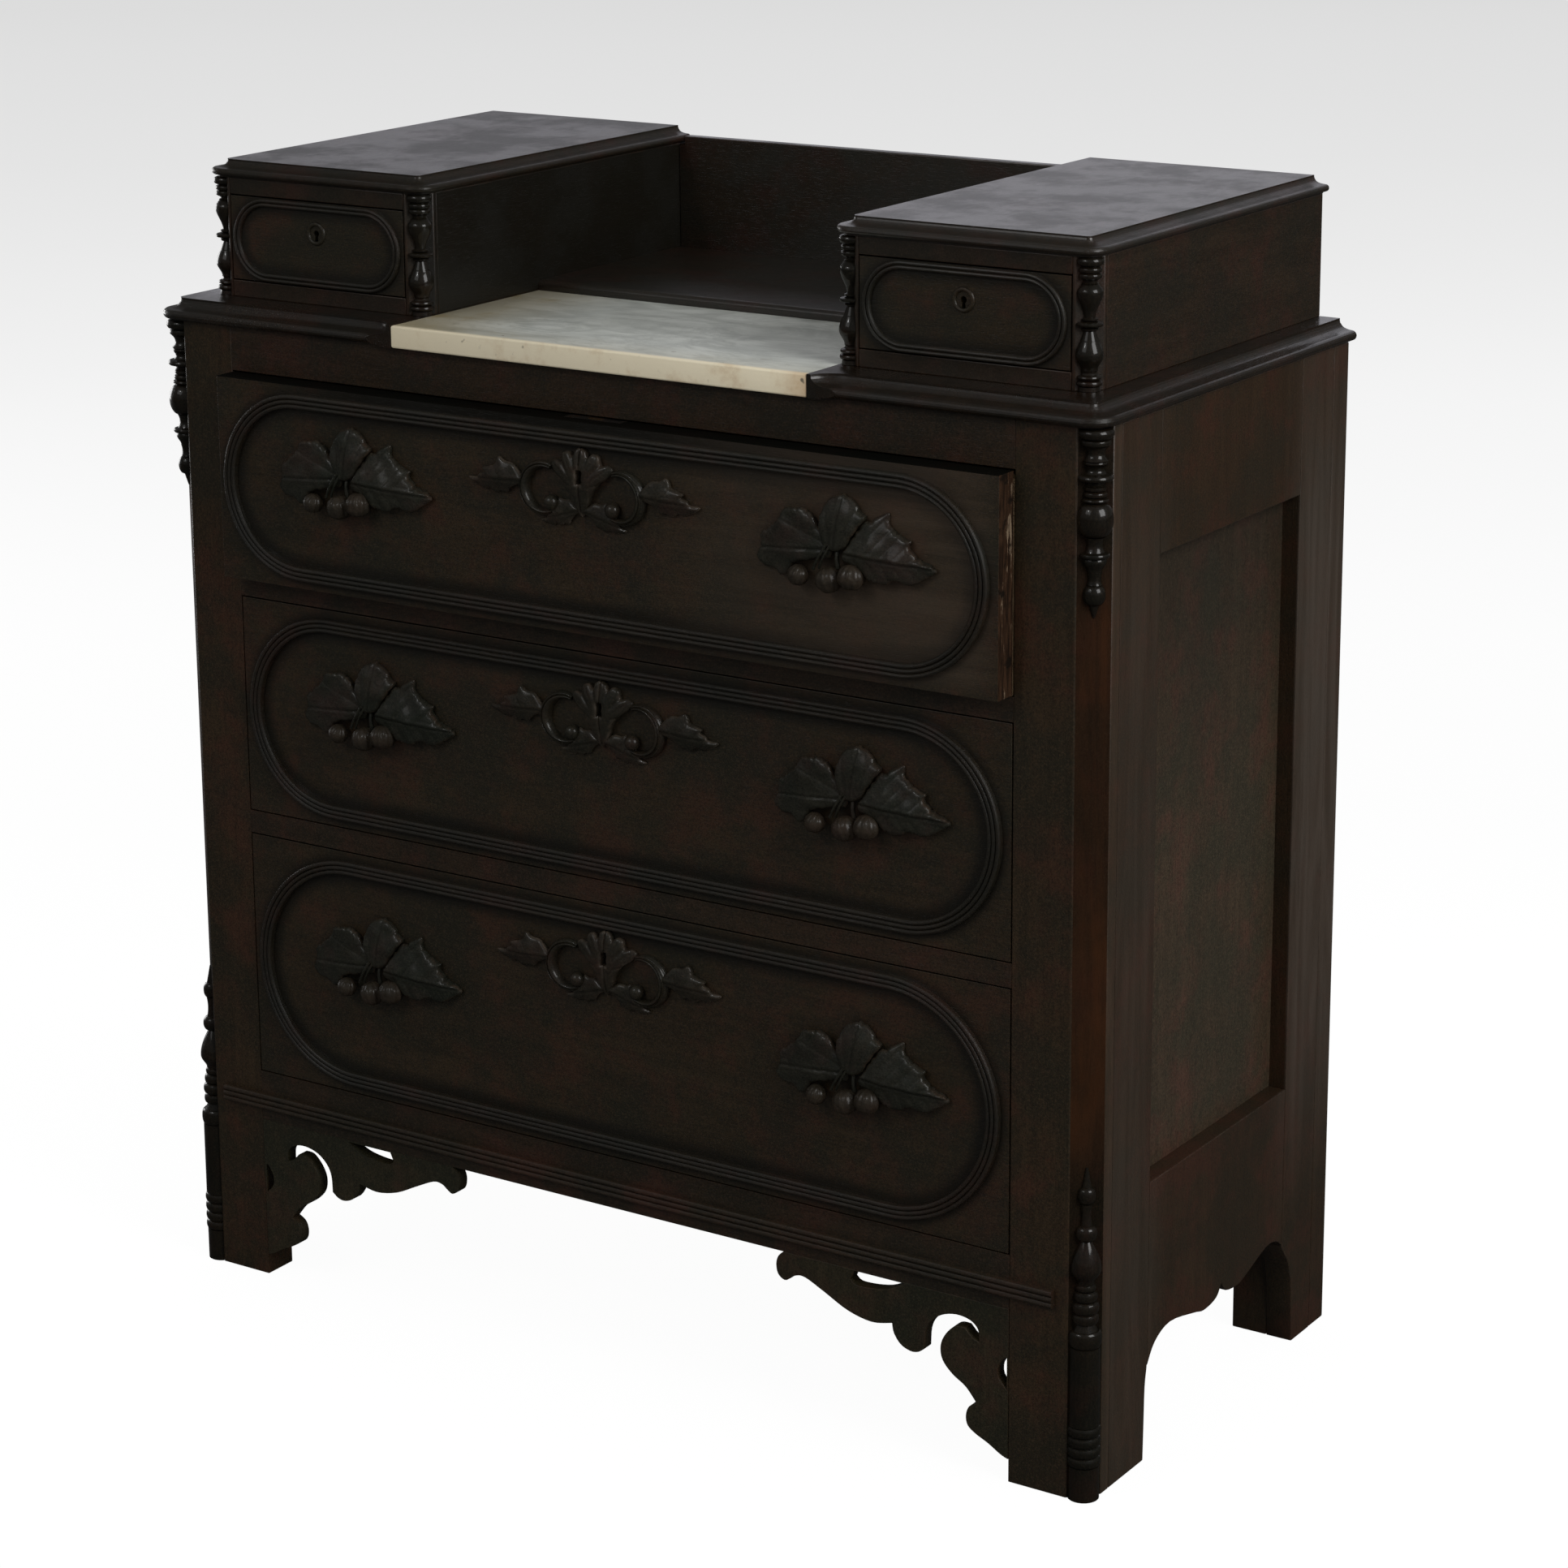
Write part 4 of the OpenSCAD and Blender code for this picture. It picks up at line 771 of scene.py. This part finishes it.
def sweep(bm, profile, stations):
    """A bar whose profile runs through a list of placed frames, closed at both ends."""
    ring = [bm.verts.new(stations[0] @ Vector((*p, 0.0))) for p in profile]
    edges = [bm.edges.new((a, b)) for a, b in zip(ring, ring[1:] + ring[:1])]
    first = edges
    for here, there in zip(stations, stations[1:]):
        made = bmesh.ops.extrude_edge_only(bm, edges=edges)["geom"]
        verts = [v for v in made if isinstance(v, bmesh.types.BMVert)]
        fresh = set(verts)
        edges = [e for e in made if isinstance(e, bmesh.types.BMEdge) and fresh.issuperset(e.verts)]
        bmesh.ops.transform(bm, matrix=there @ here.inverted(), verts=verts)
    bmesh.ops.holes_fill(bm, edges=first + edges, sides=0)


def frame_at(place, side, out, ahead, wide, high):
    """A profile's frame: its first measure runs along side, its second along out."""
    columns = (side * wide, out * high, ahead, place)
    return Matrix([[c[i] for c in columns] for i in range(3)] + [[0, 0, 0, 1]])


OUT = Vector((0, -1, 0))
ROUND = [(math.cos(i * math.pi / 6), math.sin(i * math.pi / 6)) for i in range(12)]


def stem(whole, start, end, wide):
    """A short round stem, thinner in the middle and bowed off the front."""
    bit = bmesh.new()
    ahead = (Vector(end) - Vector(start)).normalized()
    side = ahead.cross(OUT).normalized()
    bow, steps = 2.0, 8
    stations = []
    for i in range(steps + 1):
        t = i / steps
        place = Vector(start).lerp(Vector(end), t) + OUT * bow * math.sin(math.pi * t)
        girth = wide * (0.75 + 0.9 * (t - 0.5) ** 2)
        stations.append(frame_at(place, side, ahead.cross(side), ahead, girth, girth))
    sweep(bit, ROUND, stations)
    add_to(whole, bit)


def nut(whole, place, radius, seed):
    """A nut with eleven ribs from pole to pole, a little uneven and tilted."""
    bit = bmesh.new()
    bmesh.ops.create_uvsphere(bit, u_segments=48, v_segments=24, radius=1.0)
    for vert in bit.verts:
        turn = math.atan2(vert.co.y, vert.co.x)
        flat = math.hypot(vert.co.x, vert.co.y)
        rib = 0.10 * flat * abs(math.sin(5.5 * turn + seed)) ** 0.7
        rough = 0.05 * noise.noise(vert.co * 3 + Vector((seed, 0, 0)))
        vert.co *= radius * (0.92 + rib + rough)
    husk = bit.loops.layers.float.new("husk")
    for face in bit.faces:
        for loop in face.loops:
            loop[husk] = 1.0
    lean = Matrix.Rotation(0.3 * math.sin(seed * 5), 4, "Y")
    add_to(whole, bit, Matrix.Translation(Vector(place)) @ lean)


RIGHT_LEAF = [(9, -6), (13, 4), (20, 16), (28, 27), (33, 29), (36, 30), (50, 38), (51, 31),
              (58, 23), (68, 18), (74, 16), (72, 11), (78, 4), (84, 0), (98, -6), (87, -14),
              (73, -21), (63, -18), (49, -22), (36, -20), (25, -13)]
TOP_LEAF = [(-9, 2), (10, 3), (21, 20), (30, 31), (24, 35), (19, 43), (8, 49), (-2, 46),
            (-11, 38), (-15, 23)]
LEFT_LEAF = [(-3, 5), (-15, 17), (-22, 27), (-32, 33), (-42, 32), (-52, 30), (-57, 22), (-65, 15),
             (-71, 10), (-77, 5), (-76, -4), (-80, -15), (-73, -22), (-62, -23), (-53, -28),
             (-45, -21), (-38, -14), (-18, -9), (-4, -6)]
LEAVES = [
    (LEFT_LEAF, dict(base=(-4, 1), tip=(-78, -6), crest=11.5, drop=3.5, folds=(0.05, 0.08),
                     fan=0.42, rib=0.7, deep=0.30)),
    (TOP_LEAF, dict(base=(0, -2), tip=(7, 47), crest=13.0, drop=5.0, folds=(0.12, 0.05),
                    fan=0.30, rib=0.6, deep=0.35)),
    (RIGHT_LEAF, dict(base=(6, 0), tip=(96, -5), crest=14.6, drop=4.5, folds=(0.28, 0.08),
                      veins=13.0, rib=1.0, deep=0.28, step=1.1))]
NUTS = [(-34, -24, 9.4), (-3, -24.5, 11.9), (19, -19.5, 11.9)]
NUTS_OUT = 11.3
STEMS = [((-5, -13.0, 6.0), (-19, -11.0, -17.0), 1.5), ((-2, -12.0, 5.0), (-14, -10.0, -16.0), 1.4),
         ((2, -5.0, 3.0), (4, -8.0, -15.0), 2.6)]


def stamp(whole, mesh, matrix):
    """Adds a placed copy of a mesh to a piece."""
    start = len(whole.verts)
    whole.from_mesh(mesh)
    whole.verts.ensure_lookup_table()
    bmesh.ops.transform(whole, verts=whole.verts[start:], matrix=matrix)


# The left and the right pull, which a carver's hand makes a little different
blocks = []
for seed in (0.0, 3.7):
    whole = bmesh.new()
    for layer in ("wear_and_highlight", "husk"):
        whole.loops.layers.float.new(layer)
    for i, (corners, form) in enumerate(LEAVES):
        outline = closed_curve(corners, 5, 1.6)
        add_to(whole, carved(outline, leaf(**form, seed=seed + i)))
    for x, z, radius in NUTS:
        nut(whole, (x, -NUTS_OUT, z), radius, seed + 0.1 * x)
    for start, end, wide in STEMS:
        stem(whole, start, end, wide)
    blocks.append(meshed(whole, "pull_block"))

# From the middle of a pair of pulls to the hub of each, and the hubs' place in it
APART, LEFT_OF_MIDDLE, UNDER_TOP = 0.2640, 0.0088, 0.04928
for drawer in LONG:
    low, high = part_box(f"{drawer}_pulls")
    pair = bmesh.new()
    for mesh, offset in zip(blocks, (-APART, APART)):
        hub = Vector(((low.x + high.x) / 2 - LEFT_OF_MIDDLE + offset, high.y, high.z - UNDER_TOP))
        stamp(pair, mesh, Matrix.Translation(hub) @ Matrix.Scale(MILLIMETRE, 4))
    put(f"{drawer}_pulls_piece", rounded(pair), carved_walnut, drawer,
        [f"{drawer}_pulls"], 1.0)


# --------------------------------------------------------------- carved escutcheons
# Walnut fretted and carved: a palmette round the keyhole, a reeded C-scroll that
# closes on a ball at each side of it, and acanthus tips beyond and below.

HALF_SHELL = [(0, 23), (5, 22), (8, 16), (13, 20), (19, 18), (21, 10), (28, 11), (33, 7),
              (28, 0), (19, -6), (11, -16), (8, -26), (0, -38)]
HALF_KEYHOLE = [(0, -8.5), (3.4, -8.0), (3.0, -2.0), (3.6, 2.0), (2.6, 5.0), (0, 6.2)]
TAIL = [(0, 0), (0.11, 0.21), (0.2, 0.33), (0.34, 0.37), (0.43, 0.45), (0.485, 0.37),
        (0.51, 0.285), (0.63, 0.24), (0.73, 0.2), (0.7, 0.13), (0.79, 0.08), (0.84, 0.01),
        (1, 0), (0.9, -0.12), (0.73, -0.23), (0.65, -0.2), (0.54, -0.28), (0.45, -0.24),
        (0.35, -0.27), (0.28, -0.18), (0.18, -0.1)]


def shell(x, z):
    """Height of the palmette: a dome with a flute between its lobes."""
    reach = math.hypot(x, z + 4)
    turn = math.atan2(z + 12, x)
    h = 10.6 - 0.0052 * reach ** 2
    out = min(1.0, max(0.0, reach - 9) / 8)
    for flute in (1.306, 0.831, 0.25):
        h -= 1.3 * out * bump_at(turn - flute, 0.07)
    for lobe in (1.57, 1.07, 0.60):
        h -= 0.3 * out * bump_at(turn - lobe, 0.03)
    return h


def placed(corners, at, size, slim, turn):
    """Corners of a tail that is 1 long, at its own size, slimness and tilt."""
    matrix = Matrix.Rotation(math.radians(turn), 2)
    return [Vector(at) + matrix @ Vector((x * size, z * size * slim)) for x, z in corners]


# One half of an escutcheon, whose other half is its mirror image
half = bmesh.new()
outline = closed_curve(HALF_SHELL + [(0, -23)] + HALF_KEYHOLE, 3)
for spot in outline:
    spot.x = max(spot.x, 0.0)
add_to(half, carved(outline, shell, lift=0.4, undercut=0.0, roll=1.6))
for at, size, turn, crest in (((61, -12), 64, -3, 8.5), ((1, -32), 48, -16, 6.5)):
    far = placed([(1, 0)], at, size, 1.0, turn)[0]
    add_to(half, carved(closed_curve(placed(TAIL, at, size, 0.72, turn)),
                        leaf(at, far, crest, 2.5, (0.16, 0.30), veins=24.0, rib=0.9, deep=0.3,
                             step=0.5, seed=size),
                        roll=1.8))

# The C-scroll is a half-round bar with three grooves, bent round the scroll's middle
REEDS = []
for i in range(21):
    b, h = math.cos(i * math.pi / 20), math.sin(i * math.pi / 20)
    grooves = bump_at(b - 0.12, 0.1) + bump_at(b - 0.5, 0.09) + bump_at(b - 0.8, 0.07)
    REEDS.append((b, h * (1 - 0.22 * grooves)))
SCROLL_MIDDLE, SCROLL_RADIUS = Vector((43, -0.4, -16.5)), 25
SCROLL_FROM, SCROLL_SWEEP, SCROLL_STEPS = 116, 250, 40
bar = bmesh.new()
stations = []
for i in range(SCROLL_STEPS + 1):
    t = i / SCROLL_STEPS
    turn = math.radians(SCROLL_FROM - SCROLL_SWEEP * t)
    swell = math.sin(math.pi * min(1.0, 0.12 + 0.83 * t)) ** 1.2
    wide = 3.4 + 7.0 * swell
    side = Vector((math.cos(turn), 0, math.sin(turn)))
    place = SCROLL_MIDDLE + side * (SCROLL_RADIUS - wide / 2)
    ahead = Vector((math.sin(turn), 0, -math.cos(turn)))
    stations.append(frame_at(place, side, OUT, ahead, wide / 2, 4.5 + 4.5 * swell))
sweep(bar, REEDS, stations)
add_to(half, bar)
ball = bmesh.new()
bmesh.ops.create_uvsphere(ball, u_segments=32, v_segments=16, radius=7.2)
add_to(half, ball, Matrix.Translation((33, -4.0, -28)) @ Matrix.Diagonal((1, 0.95, 1, 1)))
half_mesh = meshed(half, "escutcheon_half")

# The light rubbed colour on the escutcheons' rims is partly edge wear and partly a painted highlight.
dull_carving = walnut("dull_carving", "x", dark=(0.0115, 0.0096, 0.0056),
                      light=(0.0240, 0.0180, 0.0108), rub_and_highlight=(0.100, 0.076, 0.056), gloss=0.42,
                      wear_and_highlight=0.6, shine=0.18, coat=0.35, polish=0.16, tooled=5.0)
KEYHOLE_UNDER_TOP = 0.025
for drawer in LONG:
    low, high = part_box(f"{drawer}_escutcheon")
    keyhole = Vector(((low.x + high.x) / 2, high.y, high.z - KEYHOLE_UNDER_TOP))
    whole = bmesh.new()
    for side in (-1, 1):
        stamp(whole, half_mesh, Matrix.Translation(keyhole)
              @ Matrix.Diagonal((MILLIMETRE * side, MILLIMETRE, MILLIMETRE, 1.0)))
    bmesh.ops.recalc_face_normals(whole, faces=whole.faces)
    put(f"{drawer}_escutcheon_piece", rounded(whole), dull_carving, drawer,
        [f"{drawer}_escutcheon"], 1.0)


# --------------------------------------------------------------------------- locks
# Iron lock cases let into the backs of the fronts and screwed there, each with a
# brass bolt that the key lifts behind the rail above.

iron = Finish("iron", Metallic=1.0)
rust = iron.grain(iron.here(), 90.0, 5.0, 0.7).rise(0.42, 0.66)
iron_case = iron.set(
    Base_Color=iron.blend(rust, (0.075, 0.068, 0.062), (0.050, 0.027, 0.015)),
    Roughness=0.38 + 0.35 * rust, Normal=iron.bump(rust, 0.0002))
brass = Finish("brass", Metallic=1.0)
tarnish = brass.grain(brass.here(), 120.0, 4.0, 0.6).rise(0.4, 0.7)
brass_bolt = brass.set(
    Base_Color=brass.blend(tarnish, (0.62, 0.44, 0.17), (0.24, 0.16, 0.07)),
    Roughness=0.28 + 0.25 * tarnish, Normal=brass.bump(tarnish, 0.0001))
for drawer in LONG + SMALL:
    paint(f"{drawer}_lock", iron_case)
    paint(f"{drawer}_bolt", brass_bolt)


# -------------------------------------------------------------------- small drawers
# Small walnut fronts with a reeded oval and a thin turned ring at the keyhole, both
# glued on, and a thin poplar tray behind.

for drawer in SMALL:
    eased(f"{drawer}_front", front_walnut, drawer, 0.0008)
    eased(f"{drawer}_tray", poplar_deep, drawer, 0.0006)
    paint(f"{drawer}_moulding", reed_walnut)
    paint(f"{drawer}_key_ring", front_walnut)


# -------------------------------------------------------------- floor, light, camera
# A pale studio floor that greys with distance. Four soft lamps stand round the
# chest and a small hard one before it, and the view is the photograph's own.

floor = Finish("floor", Roughness=0.9, IOR=1.2)
VIEW_X, VIEW_Y = -0.548, 0.837
FLOOR_NEAR, FLOOR_LENGTH = 0.9, 11.7
away = (VIEW_Y * floor.axis("Y") + VIEW_X * floor.axis("X") - FLOOR_NEAR) / FLOOR_LENGTH
greys = ((0.0, 1.0), (0.06, 0.982), (0.134, 0.973), (0.18, 0.956), (0.235, 0.930), (0.30, 0.905),
         (0.381, 0.863), (0.482, 0.823), (0.611, 0.7835), (0.745, 0.7605), (0.872, 0.745),
         (1.0, 0.723))
pale = floor.add("ValToRGB", {"Fac": away}, stops=[(at, (v, v, v)) for at, v in greys])
glow = floor.add("Emission", {"Color": pale, "Strength": 1.12})
mirrored = floor.add("LightPath", out="Is Glossy Ray")
floor.set(Base_Color=floor.blend(mirrored, (0.40, 0.40, 0.40), (0.05, 0.05, 0.05)))
seen = floor.add("LightPath", out="Is Camera Ray") * 0.86
shown = floor.add("MixShader", {0: seen, 1: Wire(floor, floor.shader.outputs[0]), 2: glow})
floor.tree.links.new(shown.socket, floor.tree.nodes["Material Output"].inputs["Surface"])
bm = bmesh.new()
bmesh.ops.create_grid(bm, x_segments=1, y_segments=1, size=60.0)
mesh = meshed(bm, "floor")
mesh.materials.append(floor.material)
ground = linked("floor", mesh)

world = bpy.data.worlds.new("studio")
bpy.context.scene.world = world
world.use_nodes = True
sky = Nodes(world.node_tree)
SKY_LIGHT, SKY_LOSS_IN_MIRRORS = 0.42, -0.30
glossy = sky.add("LightPath", out="Is Glossy Ray")
strength = glossy.math("MULTIPLY_ADD", glossy, SKY_LOSS_IN_MIRRORS, SKY_LIGHT)
background = sky.tree.nodes["Background"]
sky.tree.links.new(strength.socket, background.inputs["Strength"])
background.inputs["Color"].default_value = (1.0, 1.0, 1.0, 1.0)


def lamp(name, size, watts, place, target, tint=(1.0, 1.0, 1.0)):
    """An oblong lamp at a place that faces its target."""
    light = bpy.data.lights.new(name, "AREA")
    light.color = tint
    light.shape = "RECTANGLE"
    light.size, light.size_y = size
    light.energy = watts
    holder = linked(name, light)
    holder.location = place
    holder.rotation_euler = (Vector(target) - Vector(place)).to_track_quat("-Z", "Y").to_euler()


lamp("right_softbox", (2.4, 2.4), 125.0, (3.9, -0.7, 2.8), (0.2, 0.0, 0.6))
lamp("front_softbox", (3.0, 2.0), 27.0, (-1.2, -4.2, 3.4), (0.0, 0.0, 0.6))
lamp("back_softbox", (6.0, 3.0), 27.5, (-1.8, 5.2, 2.6), (-0.3, 0.0, 1.1), (0.98, 0.97, 1.07))
lamp("left_softbox", (2.2, 1.6), 60.0, (-4.4, 0.9, 0.95), (-0.5, 0.0, 0.6))
lamp("small_key", (0.35, 0.35), 12.0, (-1.0, -3.6, 3.6), (0.0, 0.0, 0.7))

# The photograph's side, its focal length and the row where its optical axis lies
PHOTO_PIXELS, FOCAL_PIXELS, AXIS_ROW = 1932, 4933.8, 734
eye, target = Vector((2.0197, -2.9975, 1.6022)), Vector((0.1925, -0.2075, 0.7693))
looking = (target - eye).normalized()
level_right = looking.cross(Vector((0, 0, 1))).normalized()
level_up = level_right.cross(looking)
roll = math.radians(-0.4)
right = level_right * math.cos(roll) + level_up * math.sin(roll)
up = right.cross(looking)
lens = bpy.data.cameras.new("camera")
lens.sensor_width = 36.0
lens.lens = FOCAL_PIXELS / PHOTO_PIXELS * lens.sensor_width
lens.shift_y = (AXIS_ROW - PHOTO_PIXELS / 2) / PHOTO_PIXELS
camera = linked("camera", lens)
camera.matrix_world = Matrix((
    (right.x, up.x, -looking.x, eye.x),
    (right.y, up.y, -looking.y, eye.y),
    (right.z, up.z, -looking.z, eye.z),
    (0, 0, 0, 1)))
bpy.context.scene.camera = camera
bpy.context.scene.view_settings.view_transform = "Standard"
